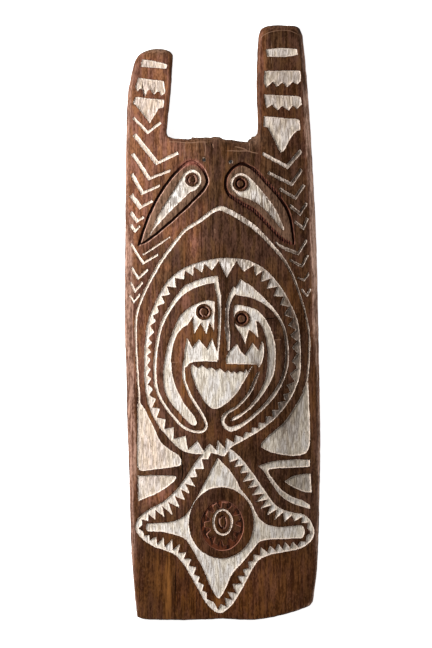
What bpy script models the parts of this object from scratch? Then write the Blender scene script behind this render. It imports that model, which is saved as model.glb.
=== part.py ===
"""Carved wooden shield board with an arm notch between two prongs, lying on its back, face up.

The board is one plank: crowned across its width in front, hollowed to match behind, so that it
rests on a flat margin along each side. The carving is cut into the front as sunk figures with
upright walls. White lime fills most of them, red ochre a few, and the deep grooves are bare.

The carving is drawn in millimetres, X from the board's middle line and Y up from its lower end.
+Y runs to the prongs and +Z out of the carved face. The mesh is in metres.
"""

import math

import bpy
import numpy as np
from mathutils import Vector
from mathutils.geometry import delaunay_2d_cdt

# Driving sizes, millimetres
LENGTH = 952.0
WIDTH = 314.0
THICKNESS = 16.5
CROWN = 9.5
EDGE_STEP = 3.0
EDGE_ROUND = 0.8
BACK_CHAMFER = 2.4
BACK_MARGIN = 14.0
BEVEL_FALL = 0.62
MOST_BEVEL_DROP = 6.0
CORD_HOLE = 5.6

# Depth of each kind of carving below the face
FIELD = 0.0
OCHRE = 1.6
LIME = 2.4
GROOVE = 3.2

# Drawing size that the points below are laid out in
DRAWN_LENGTH = 952.0
DRAWN_WIDTH = 314.0

# Fineness of the curves and of the facets
CHORD_ERROR = 0.3
ROUND_CHORD_ERROR = 0.21
FEWEST_SIDES = 9
SAMPLES_PER_SPAN = 14
FACET = 38.0
FACET_CLEARANCE = 9.0
LONGEST_MITRE = 1.25
HOLLOW_END = 1.5 * FACET
HOLLOW_STEP = 2 * FACET

MM = 0.001

# Each point of the board's edge gives X, Y and the width of the worn bevel on the face there
RIGHT_SIDE = [
    (144.5, 29, 3), (150, 69, 3.5), (153.6, 126, 4.5), (155.6, 222, 5.5), (156.8, 290, 6),
    (155, 376, 6.5), (153.4, 460, 7), (150.4, 606, 7.5), (147.2, 664, 8), (142.4, 762, 9),
    (136, 851, 8.5), (131.4, 909, 8),
]
RIGHT_PRONG_TOP = [(128.3, 936, 8), (121, 950, 8), (100, 952, 8), (72, 951.6, 9), (61, 945.5, 8)]
RIGHT_PRONG_INNER = [(57.5, 935, 6), (55.2, 900, 5), (54.4, 850, 5), (55, 780, 6)]
NOTCH_FLOOR = [
    [(51.5, 774.9, 17), (46.5, 774.1, 16)],
    [(45, 770.5, 14), (41.5, 769.8, 14)],
    [(39.5, 766.4, 10), (28, 766.6, 9), (15, 769, 6.5), (1, 770.2, 6), (-4, 773.6, 6.5)],
    [(-12, 774.4, 7), (-18, 772.4, 6), (-24, 773, 7), (-36, 772.8, 7)],
    [(-48.5, 773.4, 7), (-50.5, 771, 6), (-60, 770.8, 7), (-72, 771.6, 7), (-81, 772.2, 6)],
]
LEFT_PRONG_INNER = [(-86.6, 774.4, 5), (-89.2, 779.5, 5), (-88.6, 788, 5), (-84.5, 830, 5), (-81.3, 870, 5)]
LEFT_PRONG_TOP = [(-79.6, 905, 5), (-84, 910.6, 6), (-97, 915, 8), (-119, 913.2, 8), (-134, 905.5, 5)]
LEFT_SIDE = [
    (-140.8, 895, 5), (-146.3, 870, 5), (-151.3, 848, 5), (-154, 800, 5), (-155.2, 722, 5.5),
    (-156.6, 568, 5.5), (-156.6, 453, 5.5), (-154.4, 395, 5), (-153, 318, 4.5), (-150, 242, 4),
    (-148.6, 184, 3.5), (-146, 107, 3.5), (-143.2, 69, 3), (-139.8, 30, 2.5),
]
BASE = [(-136.6, 5, 2), (-128, 2, 2), (-100, 1, 2), (-60, 0.6, 2), (0, 3, 2), (50, 1, 2),
        (70, 3.5, 2), (90, 7.5, 2), (110, 12.5, 2), (130, 19, 2), (140.5, 24, 2)]

CORD_HOLES = [(-29.7, 736), (13, 733)]


def catmull_rom(points, closed):
    """Dense points on a centripetal curve through the given ones. A third column runs straight."""
    points = np.asarray(points, float)
    if closed:
        ring = np.concatenate([points[-1:], points, points[:2]])
    elif len(points) == 2:
        return points
    else:
        ring = np.concatenate([2 * points[:1] - points[1:2], points, 2 * points[-1:] - points[-2:-1]])
    dense = []
    for a, b, c, d in zip(ring, ring[1:], ring[2:], ring[3:]):
        t1 = math.sqrt(math.dist(a[:2], b[:2]))
        t2 = t1 + math.sqrt(math.dist(b[:2], c[:2]))
        t3 = t2 + math.sqrt(math.dist(c[:2], d[:2]))
        for step in range(SAMPLES_PER_SPAN):
            t = t1 + (t2 - t1) * step / SAMPLES_PER_SPAN
            ab = a + (b - a) * t / t1
            bc = b + (c - b) * (t - t1) / (t2 - t1)
            cd = c + (d - c) * (t - t2) / (t3 - t2)
            abc = ab + (bc - ab) * t / t2
            bcd = bc + (cd - bc) * (t - t1) / (t3 - t1)
            point = abc + (bcd - abc) * (t - t1) / (t2 - t1)
            point[2:] = bc[2:]
            dense.append(point)
    if not closed:
        dense.append(points[-1])
    return np.array(dense)


def thinned(points):
    """The points that a polyline needs to stay within the chord error, ends included."""
    if len(points) < 3:
        return points
    start, end = points[0, :2], points[-1, :2]
    along = end - start
    reach = max(math.hypot(*along), 1e-9)
    away = points[:, :2] - start
    if reach > 1e-6:
        off = np.abs(away[:, 0] * along[1] - away[:, 1] * along[0]) / reach
    else:
        off = np.hypot(away[:, 0], away[:, 1])
    worst = int(off.argmax())
    if off[worst] <= CHORD_ERROR:
        return points[[0, -1]]
    return np.concatenate([thinned(points[: worst + 1])[:-1], thinned(points[worst:])])


def outline(*runs):
    """A closed outline: a list is a smooth run up to the next one's start, a bare point a corner."""
    starts = [run[0] if isinstance(run, list) else run for run in runs]
    pieces = []
    for run, following in zip(runs, starts[1:] + starts[:1]):
        through = run if isinstance(run, list) else [run]
        pieces.append(thinned(catmull_rom(through + [following], closed=False))[:-1])
    return np.concatenate(pieces)


def loop(points):
    """A closed smooth outline through the points."""
    dense = catmull_rom(points, closed=True)
    half = len(dense) // 2
    closing = np.concatenate([dense[half:], dense[:1]])
    return np.concatenate([thinned(dense[: half + 1])[:-1], thinned(closing)[:-1]])


def ellipse(centre, radius_x, radius_y=None):
    radius_y = radius_y or radius_x
    flat = 2 * math.acos(1 - ROUND_CHORD_ERROR / max(radius_x, radius_y))
    count = max(FEWEST_SIDES, math.ceil(2 * math.pi / flat))
    turns = np.arange(count) * 2 * math.pi / count
    return np.column_stack([centre[0] + radius_x * np.cos(turns), centre[1] + radius_y * np.sin(turns)])


def left_normals(points):
    """Unit vectors to the left of an open polyline at each of its points."""
    ahead = np.gradient(points[:, :2], axis=0)
    ahead /= np.hypot(ahead[:, 0], ahead[:, 1])[:, None]
    return np.column_stack([-ahead[:, 1], ahead[:, 0]])


def stroke(points):
    """A cut along a smooth line through points that give X, Y and the cut's width there."""
    dense = catmull_rom(points, closed=False)
    side = left_normals(dense) * dense[:, 2:] / 2
    left, right = dense[:, :2] + side, dense[:, :2] - side
    return np.concatenate([thinned(left), thinned(right[::-1])])


def chevron(left, point, right, width_left, width_right=None):
    """Two straight cuts that meet in a point below, as one outline with slanting free ends."""
    left, point, right = (np.array(p, float) for p in (left, point, right))
    half_left = width_left / 2
    half_right = (width_right or width_left) / 2
    down, up = point - left, right - point
    down /= math.hypot(*down)
    up /= math.hypot(*up)
    over_left = np.array([-down[1], down[0]])
    over_right = np.array([-up[1], up[0]])

    def crossing(sign):
        a, b = left + sign * half_left * over_left, right + sign * half_right * over_right
        scale = np.linalg.solve(np.column_stack([down, -up]), b - a)
        return a + scale[0] * down

    return np.array([
        left + half_left * over_left, crossing(1), right + half_right * over_right,
        right - half_right * over_right, crossing(-1), left - half_left * over_left,
    ])


def toothed_inside(rim, tips, root_inset):
    """The inner edge of a band: a zigzag with the given tips, and a root near the rim between them."""
    dense = catmull_rom(rim, closed=True)
    count = len(dense)
    middle = dense.mean(axis=0)
    nearest = [int(np.hypot(*(dense - tip).T).argmin()) for tip in tips]
    edge = []
    for tip, here, following in zip(tips, nearest, nearest[1:] + nearest[:1]):
        gap = (following - here) % count
        if gap > count / 2:
            gap -= count
        at = (here + gap // 2) % count
        ahead = dense[(at + 2) % count] - dense[at - 2]
        normal = np.array([-ahead[1], ahead[0]]) / math.hypot(*ahead)
        if normal @ (middle - dense[at]) < 0:
            normal = -normal
        edge += [np.array(tip, float), dense[at] + root_inset * normal]
    return np.array(edge)


def cogged(centre, root, tip, count, turn):
    """A raised ring of blunt petals between two ellipses. The shares are of one petal's turn."""
    petal = ((0.0, root), (0.16, tip), (0.56, tip), (0.72, root))
    points = []
    for number in range(count):
        for share, radii in petal:
            angle = 2 * math.pi * (number + share + turn) / count
            points.append((centre[0] + radii[0] * math.cos(angle), centre[1] + radii[1] * math.sin(angle)))
    return np.array(points)


def prong_bars():
    """The stacked bars of the two prongs, from plain to toothed to an arrow head."""
    yield LIME, outline((-128.5, 897), (-117, 896), (-88, 889), (-89.5, 881.5), (-131, 885.5))
    yield LIME, outline(
        (-135.5, 868), (-113, 864.5), (-94, 862), (-91.5, 843), (-98, 838.5), (-101.6, 845),
        (-104.6, 845.4), (-109.5, 840), (-115.6, 848.6), (-118.6, 848.4), (-124, 838),
        (-129.6, 850.2), (-132.2, 850.2), (-136.5, 846), (-139.5, 853),
    )
    yield LIME, outline(
        (-139.5, 837), (-93.5, 832), (-94.5, 819.5), (-102, 818.5), (-116.5, 795), (-139, 824),
        (-144.5, 826),
    )
    yield LIME, outline((69, 913), (95, 915), (119, 914), (120.5, 904), (100, 900.5), (72, 901))
    yield LIME, outline(
        (67, 878.5), (124, 879), (125.5, 863), (120, 857), (112, 861), (103.5, 852), (96, 860),
        (87, 852.5), (80, 861), (69.5, 851), (66, 860),
    )
    yield LIME, outline(
        (66, 840.5), (125, 838), (127, 825), (119, 818), (112, 823.5), (106, 814.5), (95, 822.5),
        (88, 815), (79, 824), (70, 818.5),
    )
    yield LIME, outline(
        (66, 806), (123, 801), (124.5, 784), (119, 783), (110, 773), (98, 751), (93, 747.5),
        (90, 752), (80, 773), (72, 788), (65.5, 789),
    )


def side_chevrons():
    """The columns of chevrons down both sides: left end, point, right end and the arms' widths."""
    for figure in (
        ((-143, 804), (-120, 780), (-99, 796), 4.5),
        ((-141, 777), (-105, 731), (-71, 747), 7, 5),
        ((-144, 746), (-117, 706), (-83, 719), 6, 4),
        ((-145.5, 714), (-128, 683), (-100, 695), 6, 4),
        ((-146.5, 680), (-131, 660), (-112, 670.5), 7, 4),
        ((-147, 652), (-136.5, 638), (-126, 645), 6, 4),
        ((-147.5, 632), (-140, 622), (-132, 631), 5, 3.5),
        ((-147, 602), (-127, 571), (-103, 585), 4, 3.5),
        ((-145.5, 564), (-135, 547), (-119, 561), 4),
        ((-147.5, 540), (-140, 526), (-128, 541), 3.5),
        ((-148, 519), (-142, 509), (-132, 522), 3),
        ((64, 746), (103, 725), (126, 751), 5.5, 6),
        ((73, 716), (110, 697), (127, 721), 5, 5.5),
        ((91, 690), (116, 675), (130.5, 696), 4.5, 5),
        ((107, 663.5), (124, 650), (134.5, 667), 4.5, 4.5),
        ((115.5, 637.5), (129, 627), (136.5, 643), 4, 4),
        ((107, 576.5), (127, 566), (136.5, 584), 3.5),
        ((120, 547.5), (130, 543.5), (138.5, 555), 3),
        ((126, 529.5), (135, 519), (141, 529.5), 3),
    ):
        yield LIME, chevron(*figure)
    yield LIME, stroke([(84, 605, 2.5), (94, 597.5, 4), (106, 592, 5)])
    yield LIME, chevron((101, 594), (121, 586), (134.5, 608), 5, 4)
    yield LIME, stroke([(-127, 584.5, 2.5), (-105, 599, 3.4), (-84, 613, 2)])


def eye(centre, brown_ring, socket, pupil):
    """Rings about one point, each with its depth, from the outside in."""
    yield FIELD, ellipse(centre, brown_ring)
    yield GROOVE, ellipse(centre, socket)
    yield FIELD, ellipse(centre, pupil)


def beak_eyes():
    """The two eyes at the top, each in a long beak, with a grooved outline and a white blade."""
    yield GROOVE, stroke([
        (-134, 598, 4.5), (-129.8, 611.7, 5.5), (-123.4, 631.3, 5.5), (-115.8, 650.5, 5.5),
        (-100, 681, 5.5), (-80, 709.3, 5.5), (-62, 727, 6), (-53.4, 732.4, 6), (-44, 732, 6),
    ])
    yield GROOVE, stroke([
        (-51, 733, 4), (-42, 731, 6), (-31, 720.5, 5.5), (-24, 702, 5.5), (-29.4, 689.3, 5.5),
        (-46, 671.5, 5.5), (-70, 648, 5), (-101.2, 621.4, 5), (-120, 606.6, 5), (-135, 599.5, 3),
    ])
    yield LIME, outline(
        [(-117, 613.5), (-110, 632), (-101, 651), (-88, 672), (-71, 698), (-62, 713)],
        [(-56, 717.5), (-45, 705), (-41, 690)],
        [(-52, 684), (-71.5, 665.6), (-97, 638.6), (-112, 622.8)],
    )
    yield LIME, ellipse((-49, 704.5), 14.8, 16)
    yield from eye((-49, 704.5), 11.2, 7.6, 4.2)

    yield GROOVE, stroke([
        (115, 600, 4), (112.5, 618, 5), (106.8, 648.3, 5.5), (91, 676.8, 6), (70, 700, 6), (50, 721.5, 6),
        (33, 729.5, 6), (24, 728.5, 5),
    ])
    yield GROOVE, stroke([
        (36, 730, 4), (22.5, 726.6, 5.5), (8.8, 712.8, 5.5), (4.9, 700, 5.5), (9, 682.6, 6), (28.6, 668, 7),
        (50.4, 655.4, 7), (64, 641.5, 6.5), (80, 624, 5.5), (97, 608, 5), (114, 600.5, 3),
    ])
    yield LIME, outline(
        (40, 711),
        [(50, 701), (61, 688.5), (80, 665), (91, 645), (98, 624)],
        [(95.5, 623.5), (82, 640), (65, 659), (46, 671.5), (23, 680.5)],
        (18, 690),
    )
    yield LIME, ellipse((29, 698), 17)
    yield from eye((29, 698), 13, 9.2, 4.6)


def arch_and_panels():
    """The line that arches over the face, and the white fields that it runs down into."""
    yield LIME, stroke([
        (-132.5, 340, 3), (-135, 380, 3), (-138.5, 440, 3.2), (-137.6, 488, 3.6), (-128, 518, 4),
        (-112, 550, 4.6), (-99, 573, 5), (-80, 599, 5), (-61, 622.5, 5), (-35, 639.5, 5.5),
        (-13, 655.5, 6), (-3, 658.5, 7), (6, 655.5, 8), (30, 642.5, 8), (52, 627, 7.5), (72, 606, 6),
        (92, 584.5, 5), (110, 556, 3.4), (124, 520, 3), (135, 480, 2.6), (139, 450, 2.6),
        (137.8, 410, 2.8), (134, 378, 3), (130, 366, 3),
    ])
    yield LIME, outline(
        [(-134.8, 352), (-136.5, 335), (-136.5, 290), (-133, 240)],
        [(-110, 241), (-82, 244.5), (-67, 249)],
        [(-66, 257), (-71, 264.5), (-85, 273), (-98, 284), (-112, 312), (-126, 340)],
    )
    yield LIME, outline(
        (-136, 231), (-78, 231), (-73, 229.5), (-77, 223),
        [(-90, 212), (-105, 202.5), (-120, 196)],
        (-135, 190),
    )
    yield LIME, outline(
        (137, 381), [(131, 368), (116, 342), (98, 316), (78, 299), (62, 282.5)],
        [(61, 277), (75, 269.5), (100, 263.8), (122, 263)],
        [(133, 267), (138.5, 275), (140, 305), (138.5, 350)],
    )
    yield LIME, outline(
        [(57, 247), (78, 253.5), (100, 256), (125, 257)],
        (139.5, 256.5), (139.5, 245), [(112, 243.6), (88, 242.6), (73, 239.5)],
        [(80, 226.5), (90, 213), (106, 200), (128, 191.5)],
        (139, 185), (141, 177.5), [(128, 181), (106, 189.5), (90, 202), (78, 219), (66, 238)],
    )
    yield LIME, outline(
        [(99, 222), (110, 229), (128, 233.3)], (141, 234), (142.5, 204),
        [(135, 204), (118, 210), (106, 216.5)],
    )


RING = [
    (12, 579), (40, 575.5), (65, 563), (88, 540), (108, 508), (121, 474), (125, 430), (123.5, 390),
    (113, 362), (98, 338), (77, 316), (52, 298), (25, 283), (5, 271), (-15, 267.5), (-45, 266),
    (-66, 272.5), (-88, 293), (-107, 318), (-119, 345), (-125, 385), (-125, 430), (-119.5, 478),
    (-106, 511), (-90, 540), (-64, 562), (-40, 571.5), (-12, 578),
]
RING_TIPS = [
    (6, 547), (34, 557), (53, 551), (61, 541), (71, 530), (82, 518), (92, 505), (98, 488),
    (105, 471), (108, 455), (111, 436), (111, 414), (108, 394), (103, 376), (97, 361), (89, 348),
    (79, 336), (69, 326), (58, 316), (47, 308), (36, 301), (20.5, 296), (6, 291), (-7.5, 288),
    (-20.5, 283), (-40, 287), (-59, 295), (-78, 308), (-91, 321), (-100, 338), (-106, 354),
    (-111, 370), (-113, 386), (-115, 401), (-115, 416), (-114, 429), (-112, 444), (-109, 461),
    (-106, 478), (-101, 493), (-92, 507), (-84, 521), (-74, 532), (-62, 545), (-47, 550),
    (-33, 556), (-17, 559),
]
RING_ROOT = 4.6

STAR = [
    (-6, 274), (-26, 271), (-34, 265), (-50, 243), (-68, 216), (-90, 193), (-112, 180), (-133, 165),
    (-140, 148), (-131, 132), (-110, 117.5), (-88, 110), (-73, 102.5), (-60, 86), (-44, 59),
    (-30, 33), (-15, 16), (-4, 11.5), (8, 18), (25, 39), (42, 71), (58, 96), (76, 104.5),
    (103, 109.5), (130, 117), (145, 131), (146, 148), (133, 167), (108, 173), (86, 183),
    (68, 207), (48, 236), (28, 261), (10, 275),
]
STAR_TIPS = [
    (-23, 257), (-30, 242), (-40, 229), (-44, 214), (-52, 202), (-60, 192), (-68, 179), (-79, 167),
    (-93, 165), (-107, 160), (-119, 158), (-128, 152.5), (-127, 141), (-117, 136), (-106, 134),
    (-95, 132.5), (-80, 130), (-68, 122), (-57.5, 110), (-49, 98), (-42, 85), (-36, 70),
    (-30.5, 57), (-25.5, 44), (-15, 30), (-3, 26), (3, 36), (8.5, 46), (16, 58), (23, 71),
    (31.5, 82), (40, 94), (49, 105.5), (61, 117), (75, 119.5), (89, 123), (100, 125.5),
    (112, 125.5), (124, 126), (134, 135), (135, 147), (126, 155), (115, 158), (99, 156.5),
    (83, 160.5), (70, 167), (61, 178), (53, 189), (47.5, 200), (40, 211), (32, 221.5), (27, 235),
    (19, 245), (11, 253), (3, 262),
]
STAR_ROOT = 5.2


def face_left():
    """The left half of the face: brow and jaw in one line, nose, eye and cheek."""
    yield LIME, stroke([
        (-7, 545, 11), (-22, 543.5, 11), (-42, 537.5, 10), (-58, 529.5, 11), (-72, 516, 7),
        (-82, 502, 5.5), (-96, 476, 5), (-104, 445, 5), (-108, 408, 5), (-106, 372, 4.6),
        (-98, 352, 4.2), (-80, 327, 4), (-62, 308.5, 4), (-45, 301.5, 4), (-30, 303, 4),
        (-26, 311, 4), (-33, 330, 4), (-50, 357, 4), (-61, 384, 4), (-62.5, 402, 4), (-60.5, 416, 4),
    ])
    yield LIME, stroke([
        (-10, 541, 8), (-8, 528, 7), (-5.3, 515, 5.8), (-4.9, 500, 5), (-4.9, 480, 4.6),
        (-5.6, 450, 3.6), (-7.6, 432, 3.4), (-9, 416, 4),
    ])
    yield LIME, outline(
        [(-12.5, 509.5), (-25, 511.5), (-42, 506), (-65, 490), (-80, 461), (-92, 420), (-94.8, 385),
         (-90, 360), (-73, 336), (-50, 313), (-44.5, 311.5)],
        [(-41, 315), (-45, 326), (-60, 345), (-76, 376), (-82, 412), (-77, 447), (-66, 465.5)],
        (-55, 473), (-48, 485), (-46, 457), (-35, 475.5), (-26, 457), (-21, 476.5), (-13.8, 461),
    )
    yield from eye((-30, 493), 13, 9.4, 5.6)
    yield LIME, outline(
        (-7, 431), (-10, 431.5), (-17, 451), (-25, 434), (-38, 449), (-48, 436), (-57, 452),
        (-60.5, 430), [(-62.5, 412), (-60, 404), (-52, 411), (-44, 413.5)], (-9, 413.5),
    )


def face_right():
    """The right half of the face: a closed crescent round it, nose, eye and cheek."""
    yield LIME, outline(
        [(28.5, 545.5), (45, 535), (66, 515.5), (83, 497), (99, 470), (106, 430), (104.5, 404),
         (95, 376), (80, 353), (60, 332), (40, 315.5), (24, 305), (13, 301.5), (3, 307),
         (-2.5, 319), (3, 331), (22, 343), (40, 363), (56, 397)],
        (60, 397),
        [(52, 376), (44, 361), (25, 340), (7, 327.5), (3, 317), (10, 309.5), (22, 311.8), (40, 322),
         (60, 340), (80, 363), (94, 388), (100.5, 417), (100, 440), (95, 470), (83, 490),
         (68, 504), (45, 516), (20, 521.5)],
        (19, 529),
    )
    yield LIME, stroke([
        (21, 531, 10), (11.5, 514, 7), (8.5, 503, 6), (7.4, 490, 5), (7.2, 477, 5), (7.6, 465, 7),
        (8.3, 456, 7), (9.3, 446, 5), (8.8, 431, 3.4),
    ])
    yield LIME, outline(
        [(17, 496), (20, 503.5), (34, 502.5), (54, 496.5), (70, 479.5), (83, 447), (85, 415),
         (80, 388), (62, 357.5), (40, 334), (20, 320), (13.5, 318.5)],
        [(15, 323), (36, 335.5), (56, 359.5), (69, 388), (72.5, 420), (68, 456), (57.5, 477.5)],
        (54, 478), (57.5, 450), (49, 460), (42, 464.5), (36, 441), (30, 456), (20, 470.5),
    )
    yield from eye((31, 482), 13, 9.4, 5.4)
    yield LIME, outline(
        (10, 429.5), (23, 442), (30, 428.5), (36, 424), (48, 444), (54, 436), (58, 431.5),
        (63.5, 447), [(66.5, 438), (65.5, 421), (61, 408)], (58, 404), (54, 408.5), (6, 410),
        (5, 418),
    )


def mouth():
    """The open mouth, a white bowl with small uneven teeth along its upper edge."""
    yield LIME, outline(
        (40, 397), (37.5, 402), (33.5, 396), (28, 398.5), (22, 395), (18, 399), (14, 395.5),
        (8.5, 399.5), (3.5, 396.5), (-5, 403), (-11, 399), (-18, 404.5), (-24.5, 402), (-33, 407.5),
        (-39.5, 403),
        [(-48.5, 409.5), (-50.5, 402), (-49, 391), (-38.5, 366), (-23, 343), (-12, 337.5), (0, 342.5),
         (20, 360), (38, 388)],
        (48, 407),
    )


def star_middle():
    """The inner star with its brown disc, the petals round the middle and the oval ring."""
    yield LIME, outline(
        [(-8, 260), (-22, 233), (-38, 203), (-52, 177.5), (-64, 164.5), (-82, 157.5), (-102, 155)],
        [(-121, 154), (-123, 148), (-121, 143)],
        [(-98, 141.5), (-76, 136.5), (-60, 130), (-46, 109), (-32, 84), (-20, 55), (-9, 36.5)],
        [(-5, 34.5), (3, 47), (16, 75), (32, 93), (46, 110), (62, 126.5), (85, 129.5), (110, 130)],
        [(127, 131), (131.5, 140), (127, 151.5)],
        [(110, 150.5), (90, 149), (70, 154), (58, 164), (46, 188), (30, 209), (17, 233), (3, 249)],
    )
    yield FIELD, ellipse((-2, 156), 52, 57)
    yield OCHRE, ellipse((-0.5, 151.5), 34.5, 40)
    yield FIELD, cogged((0, 154), (20.5, 26), (29, 34.5), 11, 0.2)
    yield LIME, ellipse((0, 157), 16.5, 21.5)
    yield FIELD, ellipse((0, 157), 13, 18)
    yield GROOVE, ellipse((0, 157), 7.6, 11.4)
    yield FIELD, ellipse((0, 157), 4.4, 7.6)


def carving():
    """Every figure as a depth and an outline. A later figure covers the earlier ones under it."""
    figures = []
    for group in (prong_bars, side_chevrons, beak_eyes, arch_and_panels):
        figures += group()
    figures += [
        (LIME, loop(RING)),
        (LIME, loop(STAR)),
        (FIELD, toothed_inside(RING, RING_TIPS, RING_ROOT)),
        (FIELD, toothed_inside(STAR, STAR_TIPS, STAR_ROOT)),
    ]
    for group in (face_left, face_right, mouth, star_middle):
        figures += group()
    return figures


def scaled(points):
    """Drawn millimetres to real ones, measured from the middle of the board."""
    points = np.array(points, float)
    points[:, 0] *= WIDTH / DRAWN_WIDTH
    points[:, 1] = (points[:, 1] - DRAWN_LENGTH / 2) * LENGTH / DRAWN_LENGTH
    return points


def anticlockwise(points):
    x, y = points.T
    area = (x * np.roll(y, -1) - np.roll(x, -1) * y).sum()
    return points if area > 0 else points[::-1]


def board_edge():
    """The board's outline, anticlockwise, with the bevel's width as its third column."""
    edge = outline(RIGHT_SIDE, RIGHT_PRONG_TOP, RIGHT_PRONG_INNER, *NOTCH_FLOOR, LEFT_PRONG_INNER,
                   LEFT_PRONG_TOP, LEFT_SIDE, BASE)
    middle = (edge[:, :2].min(axis=0) + edge[:, :2].max(axis=0)) / 2
    edge[:, :2] += (0, DRAWN_LENGTH / 2) - middle
    return edge


def inset(edge, distance):
    """Each point of a closed anticlockwise edge moved into the board, square to the edge."""
    ahead = np.roll(edge[:, :2], -1, axis=0) - edge[:, :2]
    ahead /= np.hypot(ahead[:, 0], ahead[:, 1])[:, None]
    before = np.roll(ahead, 1, axis=0)
    inward = np.column_stack([-(ahead + before)[:, 1], (ahead + before)[:, 0]])
    inward /= np.hypot(inward[:, 0], inward[:, 1])[:, None]
    turn = np.clip((ahead * before).sum(axis=1), -0.5, 1)
    reach = np.minimum(1 / np.sqrt((1 + turn) / 2), LONGEST_MITRE)
    return edge[:, :2] + inward * (np.asarray(distance) * reach)[:, None]


def front_height(x):
    """Height of the uncarved face above the rest plane."""
    return THICKNESS + CROWN * (1 - (2 * x / WIDTH) ** 2)


def hollow_sides(y):
    """The X where the hollow behind starts and ends, inside the flat margins, at each Y."""
    left = scaled([point[:2] for point in LEFT_SIDE[::-1]])
    right = scaled([point[:2] for point in RIGHT_SIDE])
    return (
        np.interp(y, left[:, 1], left[:, 0]) + BACK_MARGIN,
        np.interp(y, right[:, 1], right[:, 0]) - BACK_MARGIN,
    )


def back_height(x, y):
    """Height of the back: nothing on the flat margins, and hollowed between them."""
    left, right = hollow_sides(y)
    across = (2 * x - left - right) / (right - left)
    return CROWN * np.maximum(0, 1 - across ** 2)


def facet_points(edge, kept):
    """A loose grid inside the edge, well away from the points that are kept, so facets stay small."""
    low, high = edge.min(axis=0), edge.max(axis=0)
    grid = []
    row = 0
    y = low[1]
    while y < high[1]:
        shift = FACET / 2 * (row % 2)
        for x in np.arange(low[0] + shift, high[0], FACET):
            point = np.array([x, y])
            if np.hypot(*(kept - point).T).min() > FACET_CLEARANCE and inside(point, edge):
                grid.append(point)
        y += FACET * math.sqrt(3) / 2
        row += 1
    return np.array(grid)


def inside(point, polygon):
    x, y = point
    x1, y1 = polygon.T
    x2, y2 = np.roll(polygon, -1, axis=0).T
    spans = (y1 > y) != (y2 > y)
    rise = np.where(spans, y2 - y1, 1)
    return bool((spans & (x < (x2 - x1) * (y - y1) / rise + x1)).sum() % 2)


def triangulated(polygons, lines, loose):
    """Triangles over the polygons: points, corners, and for each triangle the polygons it lies in."""
    points = np.concatenate([*polygons, *lines, loose])
    faces, edges, at = [], [], 0
    for polygon in polygons:
        faces.append(list(range(at, at + len(polygon))))
        at += len(polygon)
    for line in lines:
        edges += [(i, i + 1) for i in range(at, at + len(line) - 1)]
        at += len(line)
    flat = [Vector(p) for p in points.tolist()]
    made, _, triangles, origins, _, owners = delaunay_2d_cdt(flat, edges, faces, 1, 1e-5, True)
    place = {given: new for new, givens in enumerate(origins) for given in givens}
    return np.array([tuple(p) for p in made]), triangles, owners, place


class Solid:
    """Vertices and faces of the board, with one vertex for each place and height."""

    def __init__(self):
        self.vertices = []
        self.faces = []
        self.paints = []
        self.known = {}

    def vertex(self, x, y, z):
        key = (round(x, 5), round(y, 5), round(z, 5))
        if key not in self.known:
            self.known[key] = len(self.vertices)
            self.vertices.append((x * MM, y * MM, z * MM))
        return self.known[key]

    def face(self, corners, paint):
        corners = [c for c, following in zip(corners, corners[1:] + corners[:1]) if c != following]
        if len(corners) > 2:
            self.faces.append(corners)
            self.paints.append(paint)


def rings_of(polygons, vertex_of):
    """The vertices of each polygon in order, where the polygons were given first, one after another."""
    starts = np.cumsum([0] + [len(polygon) for polygon in polygons])
    return [[vertex_of(i) for i in range(a, b)] for a, b in zip(starts, starts[1:])]


def build_front(solid, face_edge, figures, holes):
    """The carved face with the walls of its figures. It gives the rings of its edge and the holes."""
    polygons = [face_edge, *holes] + [anticlockwise(scaled(points)) for _, points in figures]
    depths = [FIELD] + [None] * len(holes) + [depth for depth, _ in figures]
    loose = facet_points(face_edge, np.concatenate(polygons))
    points, triangles, owners, place = triangulated(polygons, [], loose)

    def vertex(at, depth):
        x, y = points[at]
        return solid.vertex(x, y, front_height(x) - depth)

    kept = {}
    levels = {}
    for triangle, owner in zip(triangles, owners):
        if 0 not in owner or any(depths[i] is None for i in owner):
            continue
        depth = depths[max(owner)]
        kept[tuple(triangle)] = depth
        for at in triangle:
            levels.setdefault(at, set()).add(depth)
    sides = {}
    for triangle, depth in kept.items():
        solid.face([vertex(at, depth) for at in triangle], depth)
        for a, b in zip(triangle, triangle[1:] + triangle[:1]):
            sides[a, b] = depth
    for (a, b), depth in sides.items():
        other = sides.get((b, a))
        if other is not None and other < depth:
            rise = [vertex(a, d) for d in sorted(levels[a], reverse=True) if other <= d <= depth]
            fall = [vertex(b, d) for d in sorted(levels[b]) if other <= d <= depth]
            solid.face(rise + fall, depth)
    return rings_of([face_edge, *holes], lambda given: vertex(place[given], FIELD))


def build_back(solid, foot_edge, holes):
    """The hollowed back. It gives the rings of its edge and of the holes."""
    low, high = foot_edge[:, 1].min(), foot_edge[:, 1].max()
    rows = np.arange(low + HOLLOW_END, high - HOLLOW_END, HOLLOW_STEP)
    lines = [np.column_stack([side, rows]) for side in hollow_sides(rows)]
    polygons = [foot_edge, *holes]
    loose = facet_points(foot_edge, np.concatenate(polygons + lines))
    points, triangles, owners, place = triangulated(polygons, lines, loose)
    heights = back_height(points[:, 0], points[:, 1])
    made = [solid.vertex(*p, z) for p, z in zip(points, heights)]
    for triangle, owner in zip(triangles, owners):
        if owner == [0]:
            solid.face([made[at] for at in triangle[::-1]], FIELD)
    return rings_of(polygons, lambda given: made[place[given]])


def join(solid, upper, lower):
    """A strip of faces between two rings of the same count, both anticlockwise from above."""
    for i in range(len(upper)):
        after = (i + 1) % len(upper)
        solid.face([upper[i], lower[i], lower[after]], FIELD)
        solid.face([upper[i], lower[after], upper[after]], FIELD)


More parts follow.
